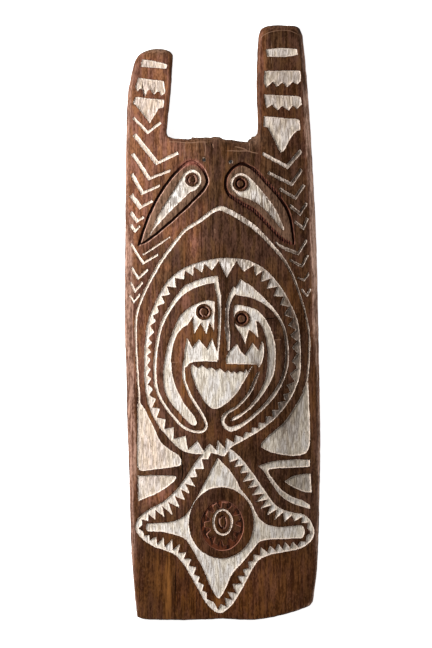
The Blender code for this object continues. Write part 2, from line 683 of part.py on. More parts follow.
def shield_mesh():
    drawn = board_edge()
    bevel = drawn[:, 2]
    edge = scaled(drawn[:, :2])
    drop = np.minimum(BEVEL_FALL * bevel, MOST_BEVEL_DROP)
    face_edge = inset(edge, bevel)
    shoulder = inset(edge, np.full(len(edge), EDGE_ROUND))
    foot_edge = inset(edge, np.full(len(edge), BACK_CHAMFER))
    holes = [ellipse(p, CORD_HOLE / 2) for p in scaled(CORD_HOLES)]

    solid = Solid()
    face_ring, *hole_tops = build_front(solid, face_edge, carving(), holes)
    foot_ring, *hole_feet = build_back(solid, foot_edge, holes)
    front = front_height(edge[:, 0])
    back = back_height(edge[:, 0], edge[:, 1])
    shoulder_ring = [solid.vertex(*p, z) for p, z in zip(shoulder, front - drop)]
    side_ring = [solid.vertex(*p, z) for p, z in zip(edge, front - drop - EDGE_STEP)]
    heel_ring = [solid.vertex(*p, z) for p, z in zip(edge, back + BACK_CHAMFER)]
    rings = [face_ring, shoulder_ring, side_ring, heel_ring, foot_ring]
    for upper, lower in zip(rings, rings[1:]):
        join(solid, upper, lower)
    for top, foot in zip(hole_tops, hole_feet):
        join(solid, foot, top)
    return solid


def material(name, colour, roughness):
    made = bpy.data.materials.new(name)
    made.use_nodes = True
    shader = made.node_tree.nodes["Principled BSDF"]
    shader.inputs["Base Color"].default_value = (*colour, 1)
    shader.inputs["Roughness"].default_value = roughness
    shader.inputs["Metallic"].default_value = 0
    return made


def main():
    for obj in list(bpy.data.objects):
        bpy.data.objects.remove(obj, do_unlink=True)
    solid = shield_mesh()
    mesh = bpy.data.meshes.new("shield_board")
    mesh.from_pydata(solid.vertices, [], solid.faces)
    mesh.materials.append(material("dark_wood", (0.085, 0.035, 0.018), 0.55))
    mesh.materials.append(material("lime_white", (0.62, 0.57, 0.5), 0.85))
    mesh.materials.append(material("red_ochre", (0.16, 0.03, 0.015), 0.75))
    paint = {FIELD: 0, GROOVE: 0, LIME: 1, OCHRE: 2}
    mesh.polygons.foreach_set("material_index", [paint[depth] for depth in solid.paints])
    mesh.update()
    board = bpy.data.objects.new("shield_board", mesh)
    bpy.context.scene.collection.objects.link(board)


main()
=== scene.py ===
"""Looks of the carved shield board: its hand-cut surface, wood, lime and ochre, and the studio.

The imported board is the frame. Its carving is read back from the node, as the lines in plan that part
one depth from another, and a fine surface is laid over it: cuts that waver a little, sloping walls,
gouged floors under the lime, a worn rim, and a back with adze marks.

Lengths are millimetres and turn into metres when the mesh is made. Places on the board are given as
X from its middle line and Y up from its lower end, as they were carved.
"""

import math
from collections import Counter

import bpy
import numpy as np
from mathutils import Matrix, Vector
from mathutils.bvhtree import BVHTree
from mathutils.geometry import delaunay_2d_cdt
from mathutils.kdtree import KDTree


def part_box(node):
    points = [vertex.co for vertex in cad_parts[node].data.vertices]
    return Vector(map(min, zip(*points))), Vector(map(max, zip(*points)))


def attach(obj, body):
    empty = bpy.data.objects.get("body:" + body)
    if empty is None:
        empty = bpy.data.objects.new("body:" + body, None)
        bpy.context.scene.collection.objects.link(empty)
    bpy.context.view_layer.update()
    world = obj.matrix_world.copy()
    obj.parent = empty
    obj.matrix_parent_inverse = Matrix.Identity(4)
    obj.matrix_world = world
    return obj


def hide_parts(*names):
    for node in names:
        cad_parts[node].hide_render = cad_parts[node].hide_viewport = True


MM = 0.001

# The board's form, as it is built
BOARD_WIDTH = 314.0
BOARD_HEIGHT = 26.0
CROWN = 9.5
EDGE_STEP = 3.0
BACK_CHAMFER = 2.4
BEVEL_FALL = 0.62
MOST_BEVEL_DROP = 6.0

# The middle and half the width of the notch's broken floor, and the band of Y that it keeps to
NOTCH_MIDDLE = -18.0
NOTCH_HALF = 70.0
NOTCH_Y = 770.0
NOTCH_BAND = 12.0

# The two cord holes and their radius, and how far each strays on its way through to the back
CORD_HOLES = [(-29.7, 736), (13, 733)]
HOLE_RADIUS = 2.8
HOLE_SLANTS = [(3.6, -2.6), (-4.1, -1.6)]

# A place in the raised band round the blade of each beak
BEAK_BANDS = [(-103, 661), (100, 639)]

# Levels of the carving, from the face down, with their depths and how far their walls lean out,
# and the three blocks of the piece's faces
FIELD, OCHRE, LIME, GROOVE = range(4)
BEVEL = -1
FRONT, SIDE, BACK = range(3)
DEPTHS = np.array([0.0, 1.6, 2.4, 3.2])
WALL_RUNS = np.array([1.0, 0.7, 0.8, 2.1])

# Fineness of the surface
GRAIN_STRETCH = 2.4
CUT_STEP = 1.9
RIM_STEP = 2.3
CRACK_STEP = 2.2
TRACE_STEP = 0.4
FACE_EDGE_STEP = 0.5
SPAN_SAMPLES = 8
HOLE_SIDES = 18
FILL_X = 1.45
FILL_Y = 4.3
FILL_CLEARANCE = 0.8
FILL_SHAKE = 0.3
BACK_FILL_X = 4.875
BACK_FILL_Y = 8.45
BACK_CLEARANCE = 2.2
CORNER_TURN = math.radians(50)
RIM_CORNER_TURN = math.radians(24)
ROUNDEST_KINK = 3.2
EDGE_WEAR = 0.2
EDGE_WEAR_RUN = 0.55
RIM_ROUND = 1.2
RIM_REACHES = (0.45, RIM_ROUND)
BEVEL_SHARES = (0.5, 1.0)
BEVEL_CLEARANCE = 0.9
HOLE_LIP = 0.8
CRACK_DEPTH = 1.9
CRACK_WALL = 0.15
LIME_FOOT = 1.75
MIDDLE_REACHES = (LIME_FOOT, 1.25)
MIDDLE_SPACING = 1.1
SHARP_ANGLE = math.radians(42)
SIDE_CORNER_TURN = math.radians(30)
SIDE_ROWS = (0.34, 0.67, 1.0)
LOWEST_SWELL = 0.94
FOOT_INSET = 0.2
CORNER_FADE = 6.0
BACK_FADE = 8.0
BESIDE_SHARE = 0.82

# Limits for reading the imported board
SLIVER = 0.002
LEVEL_TOLERANCE = 0.06
MERGE_WITHIN = 0.03
SMALLEST_HOLE = 10

rng = np.random.default_rng(7)


# Noise

def noise(x, y, seed):
    """Smooth noise from -1 to 1 with one knot for each unit of x and y."""
    table = np.random.default_rng(seed).uniform(-1, 1, (256, 256))
    column, row = np.floor(x).astype(int), np.floor(y).astype(int)
    u, v = x - column, y - row
    u, v = u * u * (3 - 2 * u), v * v * (3 - 2 * v)

    def knot(right, up):
        return table[(column + right) % 256, (row + up) % 256]

    low = knot(0, 0) * (1 - u) + knot(1, 0) * u
    high = knot(0, 1) * (1 - u) + knot(1, 1) * u
    return low * (1 - v) + high * v


def wander(points):
    """How far a hand-held tool strays at each point: a small smooth shift in X and Y."""
    x, y = points.T
    return np.column_stack([
        0.34 * noise(x / 9, y / 9, seed) + 0.12 * noise(x / 2.8, y / 2.8, seed + 1)
        for seed in (11, 13)
    ])


def broken_fibres(rim):
    """The notch's floor broke across the grain, so its edge is jagged."""
    x, y = rim.T
    on_floor = (np.abs(x - NOTCH_MIDDLE) < NOTCH_HALF) & (np.abs(y + HALF_LENGTH - NOTCH_Y) < NOTCH_BAND)
    jags = 0.35 * noise(x / 2.6, y / 30, 15) + 0.4 * noise(x / 6, y / 30, 16)
    return np.column_stack([np.zeros(len(rim)), jags * on_floor])


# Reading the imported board

def crown_height(x):
    return TOP - CROWN * (2 * x / BOARD_WIDTH) ** 2


def triples(items, name, kind):
    values = np.empty(len(items) * 3, kind)
    items.foreach_get(name, values)
    return values.reshape(-1, 3)


def cross(a, b):
    return a[:, 0] * b[:, 1] - a[:, 1] * b[:, 0]


def edges_of(names):
    return zip(names, names[1:] + names[:1])


def tree_of(*lines):
    points = np.concatenate(lines)
    tree = KDTree(len(points))
    for i, (x, y) in enumerate(points):
        tree.insert((x, y, 0), i)
    tree.balance()
    return tree


def distances(tree, points):
    return np.array([tree.find((x, y, 0))[2] for x, y in points])


def nearest(tree, points):
    return np.array([tree.find((x, y, 0))[1] for x, y in points])


class Board:
    """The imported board: its front in plan, with a level for each triangle, and its front and back faces."""

    def __init__(self, node):
        mesh = node.data
        mesh.calc_loop_triangles()
        places = self.places = triples(mesh.vertices, "co", np.float32).astype(float) / MM
        triangles = triples(mesh.loop_triangles, "vertices", np.int32)
        first, second, third = (places[triangles[:, i]] for i in range(3))
        turned_up = cross(second - first, third - first)
        self.front_triangles = triangles[turned_up > SLIVER]
        self.levels = self.read_levels()
        self.front, self.back = (
            BVHTree.FromPolygons(places.tolist(), faces.tolist())
            for faces in (self.front_triangles, triangles[turned_up < -SLIVER])
        )

    def read_levels(self):
        """The level of each front triangle, or BEVEL where it slopes down to the rim."""
        depth = crown_height(self.places[:, 0]) - self.places[:, 2]
        depth = depth[self.front_triangles]
        levels = np.abs(depth.mean(axis=1)[:, None] - DEPTHS).argmin(axis=1)
        return np.where(np.ptp(depth, axis=1) < LEVEL_TOLERANCE, levels, BEVEL)

    def plan_edges(self):
        """Each directed edge of the front in plan with its triangle's level, and the plan points."""
        tree = tree_of(self.places[:, :2])
        merged, sides = {}, {}
        plan, self.named = [], []
        for triangle, level in zip(self.front_triangles, self.levels):
            names = []
            for i in triangle:
                if i not in merged:
                    x, y, _ = self.places[i]
                    for _, other, _ in tree.find_range((x, y, 0), MERGE_WITHIN):
                        merged[other] = len(plan)
                    plan.append((x, y))
                names.append(merged[i])
            self.named.append(names)
            for edge in edges_of(names):
                sides[edge] = int(level)
        close_slivers(plan, sides)
        return np.array(plan), sides

    def look_down(self, points):
        """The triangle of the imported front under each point, or None off the board."""
        return [self.front.ray_cast((x, y, 100), (0, 0, -1))[2] for x, y in points]

    def island(self, x, y):
        """The front triangles that join the one at a place edge to edge, all at its level."""
        beside = {edge: i for i, names in enumerate(self.named) for edge in edges_of(names)}
        start, = self.look_down([(x, y - HALF_LENGTH)])
        found, left = {start}, [start]
        while left:
            for a, b in edges_of(self.named[left.pop()]):
                i = beside.get((b, a))
                if i is not None and i not in found and self.levels[i] == self.levels[start]:
                    found.add(i)
                    left.append(i)
        return found

    def look_up(self, points):
        """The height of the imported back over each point, or None off the board."""
        hits = (self.back.ray_cast((x, y, -100), (0, 0, 1))[0] for x, y in points)
        return [None if hit is None else hit.z for hit in hits]


def close_slivers(plan, sides):
    """Where a steep sliver leaves a gap of three sides in plan, its longest side takes the third corner."""
    gaps = runs_of([edge for edge in sides if edge[::-1] not in sides])
    for a, b, c in (gap[:3] for gap in gaps if len(gap) == 4 and gap[0] == gap[3]):
        turns = [(a, b, c), (b, c, a), (c, a, b)]
        start, end, third = max(turns, key=lambda turn: math.dist(plan[turn[0]], plan[turn[1]]))
        level = sides.pop((start, end))
        sides[start, third] = level
        sides[third, end] = level


def runs_of(segments):
    """Directed segments joined into runs of points, each broken where other than two segments meet."""
    following = {}
    for a, b in segments:
        following.setdefault(a, []).append(b)
    meeting = Counter(end for segment in segments for end in segment)
    left = dict.fromkeys(segments)

    def follow(a, b):
        run = [a, b]
        del left[a, b]
        while meeting[run[-1]] == 2 and run[-1] != run[0]:
            onward = [c for c in following.get(run[-1], []) if (run[-1], c) in left]
            if not onward:
                break
            del left[run[-1], onward[0]]
            run.append(onward[0])
        return run

    runs = [follow(*segment) for segment in segments if meeting[segment[0]] != 2 and segment in left]
    while left:
        runs.append(follow(*next(iter(left))))
    return runs


def sorted_lines(plan, sides):
    """The front's lines in plan: cuts, their deeper level on the left, the rim, holes and face edges."""
    cuts = {}
    rim, face_edge = [], []
    for (a, b), level in sides.items():
        other = sides.get((b, a))
        if other is None:
            rim.append((a, b))
        elif BEVEL in (level, other):
            if level > other:
                face_edge.append((a, b))
        elif level > other:
            cuts.setdefault((level, other), []).append((a, b))
    cut_runs = [(plan[run], *levels) for levels in cuts for run in runs_of(cuts[levels])]
    rims = sorted((plan[run] for run in runs_of(rim)), key=length_of)
    holes = [ring for ring in rims[:-1] if length_of(ring) > SMALLEST_HOLE]
    return cut_runs, rims[-1], holes, [plan[run] for run in runs_of(face_edge)]


# Curves in plan

def travelled(points):
    """How far along a line each of its points is."""
    return np.concatenate([[0], np.cumsum(np.hypot(*np.diff(points, axis=0).T))])


def length_of(points):
    return travelled(points)[-1]


def ring_of(points):
    return np.concatenate([points, points[:1]])


def catmull_rom(points, closed=False):
    """Dense points on a centripetal curve through the given ones, the first again last if closed."""
    before, after = 2 * points[0] - points[1], 2 * points[-1] - points[-2]
    if closed:
        before, after = points[-2], points[1]
    ring = np.concatenate([[before], points, [after]])
    dense = []
    for a, b, c, d in zip(ring, ring[1:], ring[2:], ring[3:]):
        t1 = math.sqrt(math.dist(a, b)) + 1e-9
        t2 = t1 + math.sqrt(math.dist(b, c)) + 1e-9
        t3 = t2 + math.sqrt(math.dist(c, d)) + 1e-9
        t = np.linspace(t1, t2, SPAN_SAMPLES, endpoint=False)[:, None]
        ab = a + (b - a) * t / t1
        bc = b + (c - b) * (t - t1) / (t2 - t1)
        cd = c + (d - c) * (t - t2) / (t3 - t2)
        abc = ab + (bc - ab) * t / t2
        bcd = bc + (cd - bc) * (t - t1) / (t3 - t1)
        dense.append(abc + (bcd - abc) * (t - t1) / (t2 - t1))
    return np.concatenate(dense + [points[-1:]])


def spaced(points, step):
    """Points about step apart along a polyline, its two ends included."""
    at = travelled(points)
    wanted = np.linspace(0, at[-1], max(1, round(at[-1] / step)) + 1)
    return np.column_stack([np.interp(wanted, at, points[:, 0]), np.interp(wanted, at, points[:, 1])])


def turns_of(ring):
    """How far a ring turns at each point, and the shorter of the two sides that meet there."""
    ahead = np.roll(ring, -1, axis=0) - ring
    behind = ring - np.roll(ring, 1, axis=0)
    turn = np.abs(np.arctan2(cross(behind, ahead), (behind * ahead).sum(axis=1)))
    return turn, np.minimum(np.hypot(*ahead.T), np.hypot(*behind.T))


def smoothed(run, step, corner_turn=CORNER_TURN):
    """The run as an even curve that keeps its sharp corners. A closed run ends on its first point."""
    closed = np.allclose(run[0], run[-1])
    ring = run[:-1] if closed else run
    turn, spans = turns_of(ring)
    corners = np.flatnonzero((turn > corner_turn) | (turn * spans > ROUNDEST_KINK)).tolist()
    if closed and not corners:
        return spaced(catmull_rom(ring_of(ring), closed), step)
    if closed:
        ring = ring_of(np.roll(ring, -corners[0], axis=0))
        corners = [corner - corners[0] for corner in corners]
    breaks = sorted({0, *corners, len(ring) - 1})
    pieces = []
    for start, end in zip(breaks, breaks[1:]):
        piece = ring[start:end + 1]
        if len(piece) > 2:
            piece = catmull_rom(piece)
        pieces.append(spaced(piece, step)[:-1])
    return np.concatenate(pieces + [ring[-1:]])


def left_normals(points, closed):
    if closed:
        ahead = np.roll(points, -1, axis=0) - np.roll(points, 1, axis=0)
    else:
        ahead = np.gradient(points, axis=0)
    ahead /= np.maximum(np.hypot(*ahead.T), 1e-9)[:, None]
    return np.column_stack([-ahead[:, 1], ahead[:, 0]])


# Cracks run along the grain: X, Y and width at each point. The two near the top of the left prong, at X -128
# and X -109, also paint the shadow on the right of the bumps there.
CRACKS = [
    [(-65.5, 222, 0.4), (-64, 232, 1.5), (-64.5, 247, 1.7), (-65.5, 262, 1.4), (-65, 273, 0.4)],
    [(-65, 314, 0.3), (-64.3, 322, 1.3), (-64.6, 331, 1.1), (-64.2, 343, 0.5), (-64.6, 352, 0.3)],
    [(-17.5, 761, 1.6), (-16.6, 757, 1.2), (-17, 750, 0.3)],
    [(-128.4, 866, 0.4), (-127.8, 855, 2.2), (-126.5, 846, 2.6), (-126.2, 838, 1.4), (-126.8, 832, 0.4)],
    [(-109.4, 853, 0.4), (-108.6, 846, 1.5), (-108.8, 841, 0.5)],
    [(-121.2, 624, 0.4), (-120.6, 618, 1.3), (-120.8, 611, 0.5)],
    [(66.6, 480, 0.3), (71, 481.5, 1.1), (82, 483, 1.2), (86, 483.6, 0.3)],
    [(-76, 30, 0.3), (-75.2, 48, 0.9), (-75.6, 66, 1), (-75, 84, 0.3)],
    [(118, 300, 0.3), (119, 330, 0.7), (118.6, 352, 0.3)],
    [(5.5, 771, 0.9), (6.2, 752, 0.8), (5.2, 728, 0.3)],
]
# Pale scuffs and splintered edges, given in the same way
SCUFFS = [
    [(-86, 765, 0.8), (-70, 764.5, 1.3), (-52, 763, 1.2), (-36, 764.5, 1.2), (-24, 764, 0.6)],
    [(6, 750, 0.5), (17, 750, 1.2), (29, 750, 1.2), (39, 750.4, 1.3), (48, 748, 1.1), (57, 746.4, 0.6)],
    [(20, 756.5, 0.8), (27, 756, 1.2), (33.5, 754, 1.3), (39, 751.6, 0.8)],
    [(-28, 763, 0.8), (-27.4, 752, 1.4), (-28, 742, 0.5)],
    [(-41.7, 761.5, 0.6), (-41.5, 751, 0.7)],
    [(-62, 762, 0.8), (-61, 748, 0.9), (-62, 735, 0.5)],
    [(-15.4, 761, 1.5), (-14.6, 755.5, 1.1)],
    [(42.6, 762, 0.9), (43, 752.5, 0.9)],
    [(-81, 412, 0.7), (-72, 412, 0.7)],
    [(83, 448, 0.6), (93, 448.5, 0.7)],
    [(-118, 500.5, 1.2), (-118.2, 496, 1.0)],
    [(-12.3, 625.5, 1.2), (-12, 619.5, 0.9)],
    [(61.5, 931.5, 1.1), (67, 936, 1.1), (77, 940.5, 0.7), (92, 943, 0.5), (108, 942.5, 0.6),
     (122, 936, 0.4)],
    [(78, 925, 0.3), (78.5, 905, 0.8), (78, 890, 0.3)],
]


def crack_lines(given_lines):
    lines = []
    for points in given_lines:
        points = np.array(points, float) - (0, HALF_LENGTH, 0)
        line = spaced(catmull_rom(points[:, :2]), CRACK_STEP)
        given = travelled(points[:, :2])
        width = np.interp(np.linspace(0, 1, len(line)), given / given[-1], points[:, 2])
        lines.append((line + wander(line), width))
    return lines


# Laying the fine surface over the front

class Numbered:
    """Points in one list, numbered in the order in which they are added."""

    def __init__(self):
        self.points = []
        self.count = 0

    def add(self, points):
        self.points.append(points)
        self.count += len(points)
        return np.arange(self.count - len(points), self.count)


class Plan(Numbered):
    """Outlines, lines and loose points in plan, to be joined into triangles."""

    def __init__(self):
        super().__init__()
        self.edges = []
        self.outlines = []

    def outline(self, points):
        self.outlines.append(self.add(points).tolist())

    def line(self, points, kept=None, closed=False):
        """A line through the points, left open beside those that aren't kept."""
        kept = np.ones(len(points), bool) if kept is None else kept
        names = np.full(len(points), -1)
        names[kept] = self.add(points[kept])
        names = names.tolist()
        pairs = zip(names, names[1:] + names[:1 if closed else 0])
        self.edges += [pair for pair in pairs if min(pair) >= 0]

    def triangles(self):
        """Triangles inside the first outline and outside the others, and their points."""
        given = np.concatenate(self.points) / (1, GRAIN_STRETCH)
        flat = [Vector(point) for point in given.tolist()]
        made, _, triangles, _, _, owners = delaunay_2d_cdt(
            flat, self.edges, self.outlines, 1, 1e-4, True
        )
        made = np.array([tuple(point) for point in made]) * (1, GRAIN_STRETCH)
        kept = [triangle for triangle, owner in zip(triangles, owners) if owner == [0]]
        used, names = np.unique(np.array(kept), return_inverse=True)
        return made[used], names.reshape(-1, 3)


def circle(centre, radius):
    turns = np.arange(HOLE_SIDES) * 2 * math.pi / HOLE_SIDES
    return centre + radius * np.column_stack([np.cos(turns), np.sin(turns)])


def beside(plan, points, reach, closed, clear_of):
    """A line at a distance to the left of another, kept where it stays clear of every such line."""
    moved = points + reach * left_normals(points, closed)
    plan.line(moved, distances(clear_of, moved) > BESIDE_SHARE * abs(reach), closed)


def middles(cuts, cut_tree):
    """Loose points a little in from the lime's edges, so that narrow strokes have a middle of their own."""
    found = []
    for reach in MIDDLE_REACHES:
        for line, _, level, _, closed in cuts:
            if level == LIME:
                moved = line + reach * left_normals(line, closed)
                found.append(moved[distances(cut_tree, moved) > BESIDE_SHARE * reach])
    cells = {}
    for point in np.concatenate(found):
        cell = tuple((point // MIDDLE_SPACING).astype(int))
        around = [cells.get((cell[0] + i, cell[1] + j)) for i in (-1, 0, 1) for j in (-1, 0, 1)]
        if all(other is None or math.dist(point, other) > MIDDLE_SPACING for other in around):
            cells[cell] = point
    return np.array(list(cells.values()))


def fill(places, step_x, step_y, kept_off, clearance, look, shake=0.0):
    """Loose points on a staggered grid over the board, clear of its lines and shaken a little."""
    low, high = places.min(axis=0), places.max(axis=0)
    x, y = np.meshgrid(np.arange(low[0], high[0], step_x), np.arange(low[1], high[1], step_y))
    y = y + step_y / 2 * (np.arange(x.shape[1]) % 2)
    if shake:
        x = x + rng.uniform(-shake, shake, x.shape) * step_x
        y = y + rng.uniform(-shake, shake, y.shape) * step_y
    points = np.column_stack([x.ravel(), y.ravel()])
    points = points[distances(tree_of(*kept_off), points) > clearance]
    return points[[found is not None for found in look(points)]]


def front_plan(board):
    """The fine front in plan, and the trees and widths that its heights are worked out from."""
    cut_runs, rim, holes, face_edges = sorted_lines(*board.plan_edges())
    rim = smoothed(rim, RIM_STEP, RIM_CORNER_TURN)[:-1]
    rim = rim + wander(rim) + broken_fibres(rim)
    widths = distances(tree_of(*(spaced(run, FACE_EDGE_STEP) for run in face_edges)), rim)
    widths = (widths + np.roll(widths, 1) + np.roll(widths, -1)) / 3
    cuts = []
    for run, level, other in cut_runs:
        closed = bool(np.allclose(run[0], run[-1]))
        line = smoothed(run, CUT_STEP)[:-1 if closed else None]
        line = line + wander(line)
        cuts.append((line, ring_of(line) if closed else line, level, other, closed))
    cracks, scuffs = crack_lines(CRACKS), crack_lines(SCUFFS)

    traced = [spaced(ring, TRACE_STEP) for _, ring, _, _, _ in cuts]
    cut_tree = tree_of(*traced)
    level_trees = {}
    for wanted in (OCHRE, LIME, GROOVE):
        level_trees[wanted] = tree_of(*(line for line, cut in zip(traced, cuts) if wanted in cut[2:4]))
    rim_fine = spaced(ring_of(rim), TRACE_STEP)
    rim_tree = tree_of(rim_fine)
    rim_widths = widths[nearest(tree_of(rim), rim_fine)]

    plan = Plan()
    plan.outline(rim)
    for hole in holes:
        middle = hole[:-1].mean(axis=0)
        radius = np.hypot(*(hole - middle).T).mean()
        plan.outline(circle(middle, radius))
        plan.line(circle(middle, radius + HOLE_LIP), closed=True)
    for reach in RIM_REACHES:
        beside(plan, rim, reach, True, rim_tree)
    for share in BEVEL_SHARES:
        moved = rim + (share * widths)[:, None] * left_normals(rim, True)
        kept = distances(rim_tree, moved) > BEVEL_CLEARANCE * share * widths
        kept &= distances(cut_tree, moved) > BEVEL_CLEARANCE
        plan.line(moved, kept, closed=True)
    for line, ring, level, other, closed in cuts:
        plan.line(ring)
        beside(plan, line, WALL_RUNS[level], closed, cut_tree)
        if other == FIELD:
            beside(plan, line, -EDGE_WEAR_RUN, closed, cut_tree)
    for line, width in cracks + scuffs:
        plan.line(line)
        across = left_normals(line, False) * (width / 2 + CRACK_WALL)[:, None]
        plan.line(line + across)
        plan.line(line - across)
    plan.add(middles(cuts, cut_tree))
    plan.add(fill(board.places[:, :2], FILL_X, FILL_Y, plan.points, FILL_CLEARANCE, board.look_down,
                  FILL_SHAKE))
    return plan, (cut_tree, level_trees, rim_tree, rim_widths, cracks, scuffs)


# Heights

def field_relief(x, y):
    """The raised wood: faint ridges along the grain over the long flat marks of an adze."""
    ridges = 0.07 * noise(x / 2.1, y / 46, 21) + 0.05 * noise(x / 4.6, y / 90, 22)
    marks = 0.22 * noise(x / 21, y / 34, 23)
    return ridges + marks


def gouge_relief(x, y):
    """The floors under the lime: narrow gouge marks along the grain, no two alike."""
    drift = 2.2 * noise(x / 30, y / 40, 31)
    narrow = noise((x + drift) / 2.3, y / 24, 32)
    broad = noise((x + drift) / 5.5, y / 33, 33)
    return -0.2 * np.abs(narrow) - 0.16 * broad - 0.06


def rim_drop(reach, width):
    """How far the worn bevel and the rounded rim fall below the face."""
    bevel = np.minimum(BEVEL_FALL * width, MOST_BEVEL_DROP)
    across = np.clip((reach - RIM_ROUND) / np.maximum(width - RIM_ROUND, 0.3), 0, 1)
    rounding = np.clip(reach / RIM_ROUND, 0, 1)
    return bevel * (1 - across) ** 1.15 + EDGE_STEP * (1 - np.sqrt(1 - (1 - rounding) ** 2))


class Surface:
    """The fine front: its points, heights, triangles and what the materials need to know of it."""

    def __init__(self, board):
        plan, trees = front_plan(board)
        self.points, self.triangles = plan.triangles()
        cut_tree, level_trees, rim_tree, rim_widths, cracks, scuffs = trees
        x, y = self.points.T
        straight = self.points - wander(self.points)
        found = board.look_down(straight)
        level = np.array([BEVEL if i is None else board.levels[i] for i in found])
        beaks = set().union(*(board.island(*place) for place in BEAK_BANDS))
        cut_reach = distances(cut_tree, self.points)
        rim_reach = distances(rim_tree, self.points)
        width = rim_widths[nearest(rim_tree, self.points)]

        drop = rim_drop(rim_reach, width)
        drop += 0.35 * noise(x / 8, y / 13, 41) * np.clip(1 - rim_reach / (width + 2), 0, 1)
        height = crown_height(x) - np.maximum(drop, 0) + field_relief(x, y)
        run = WALL_RUNS[np.maximum(level, 0)]
        dished = 1 - (1 - np.clip(cut_reach / LIME_FOOT, 0, 1)) ** 2
        fallen = np.where(level == LIME, dished, np.clip(cut_reach / run, 0, 1))
        cut = DEPTHS[np.maximum(level, 0)] * fallen
        floor = gouge_relief(x, y) * np.where(level == LIME, 1, 0.5)
        cut = cut - floor * np.clip(cut_reach / run - 0.3, 0, 1) * (level > FIELD)
        worn = EDGE_WEAR * np.clip(1 - cut_reach / EDGE_WEAR_RUN, 0, 1)
        crack_reach, crack_cut = self.cracked(cracks)
        scuff_reach, _ = self.cracked(scuffs)
        self.heights = height - cut - worn - crack_cut
        olive = np.array([float(i in beaks) for i in found])
        self.looks = {"rim": rim_reach, "width": width, "crack": crack_reach, "scuff": scuff_reach,
                      "pale": pale_strips(x, y, rim_reach), "olive": olive}
        for name, wanted in (("ochre", OCHRE), ("lime", LIME), ("groove", GROOVE)):
            reach = distances(level_trees[wanted], self.points)
            self.looks[name] = np.where(level == wanted, reach, -reach)

    def cracked(self, cracks):
        """How far each point is from a crack's edge, and how deep the crack is there."""
        lines, widths = map(np.concatenate, zip(*cracks))
        tree = tree_of(lines)
        width = widths[nearest(tree, self.points)]
        reach = distances(tree, self.points)
        share = np.clip(1 - reach / (width / 2 + CRACK_WALL), 0, 1)
        return reach - width / 2, CRACK_DEPTH * np.clip(width / 1.2, 0, 1.4) * share


# The rim, the sides and the back

def loops_of(triangles):
    """The rims of a sheet of triangles, as rings of vertices in the triangles' own direction."""
    ends = triangles[:, [0, 1, 1, 2, 2, 0]].reshape(-1, 2).tolist()
    ends = {tuple(end) for end in ends}
    open_ends = sorted(end for end in ends if end[::-1] not in ends)
    return [np.array(run[:-1]) for run in runs_of(open_ends)]


def side_relief(along, height):
    """The sides: shallow cuts of an adze that follow the edge."""
    return 0.5 * np.abs(noise(along / 16, height / 9, 51)) + 0.2 * np.abs(
        noise(along / 4, height / 3.5, 52)
    )


def back_relief(x, y):
    """The back: shallow scoops of an adze in rows along the board, never below the rest plane."""
    scoops = np.abs(noise(x / 17 + 0.3 * noise(x / 40, y / 60, 61), y / 31, 62))
    return 0.5 * scoops + 0.1 * np.abs(noise(x / 4, y / 40, 63))


class Shell(Numbered):
    """Every vertex and face of the piece in one list, front first."""

    def __init__(self, board, front):
        super().__init__()
        self.add(np.column_stack([front.points, front.heights]))
        self.faces = [front.triangles]
        self.blocks = [np.full(len(front.triangles), FRONT)]
        rings = sorted(loops_of(front.triangles), key=len)
        self.rim, holes = rings[-1], rings[:-1]
        feet = self.sides(board, front, self.rim)
        self.back(board, front, feet, holes)

    def strip(self, upper, lower, block):
        """Faces between two rings of the same count, both anticlockwise from above."""
        next_upper, next_lower = np.roll(upper, -1), np.roll(lower, -1)
        self.faces.append(np.column_stack([upper, lower, next_lower]))
        self.faces.append(np.column_stack([upper, next_lower, next_upper]))
        self.blocks += [np.full(len(upper), block)] * 2

    def sides(self, board, front, rim):
        """The sides, from the rim down to the chamfer above the rest plane. It gives the foot's ring."""
        ring, top = front.points[rim], front.heights[rim]
        inward = left_normals(ring, True)
        turn, _ = turns_of(ring)
        corner_reach = distances(tree_of(ring[turn > SIDE_CORNER_TURN]), ring)
        chamfer = BACK_CHAMFER * np.clip(corner_reach / CORNER_FADE, 0.3, 1)
        foot = ring + inward * (chamfer + FOOT_INSET)[:, None]
        foot_height = np.array([height or 0.0 for height in board.look_up(foot)])
        heel = foot_height + chamfer
        upper = rim
        for share in SIDE_ROWS:
            height = top + (heel - top) * share
            sunk = side_relief(travelled(ring), height) * math.sin(math.pi * min(share, LOWEST_SWELL))
            row = self.add(np.column_stack([ring + inward * sunk[:, None], height]))
            self.strip(upper, row, SIDE)
            upper = row
        feet = self.add(np.column_stack([foot, foot_height]))
        self.strip(upper, feet, SIDE)
        return feet

    def back(self, board, front, feet, holes):
        """The hollowed back with its adze marks, and the two cord holes through to it."""
        plan = Plan()
        plan.outline(np.concatenate(self.points)[feet][:, :2])
        for hole in holes:
            ring = front.points[hole[::-1]]
            plan.outline(ring + HOLE_SLANTS[int(ring[0, 0] > 0)])
        plan.add(fill(plan.points[0], BACK_FILL_X, BACK_FILL_Y, plan.points, BACK_CLEARANCE, board.look_up))
        points, triangles = plan.triangles()
        low = np.array([max(0.0, height or 0.0) for height in board.look_up(points)])
        clear = np.clip(distances(tree_of(plan.points[0]), points) / BACK_FADE, 0, 1)
        names = self.add(np.column_stack([points, low + back_relief(*points.T) * clear]))
        known = tree_of(points)
        names[nearest(known, plan.points[0])] = feet
        for hole, given in zip(holes, plan.points[1:]):
            self.strip(names[nearest(known, given)], hole[::-1], SIDE)
        self.faces.append(names[triangles[:, ::-1]])
        self.blocks.append(np.full(len(triangles), BACK))
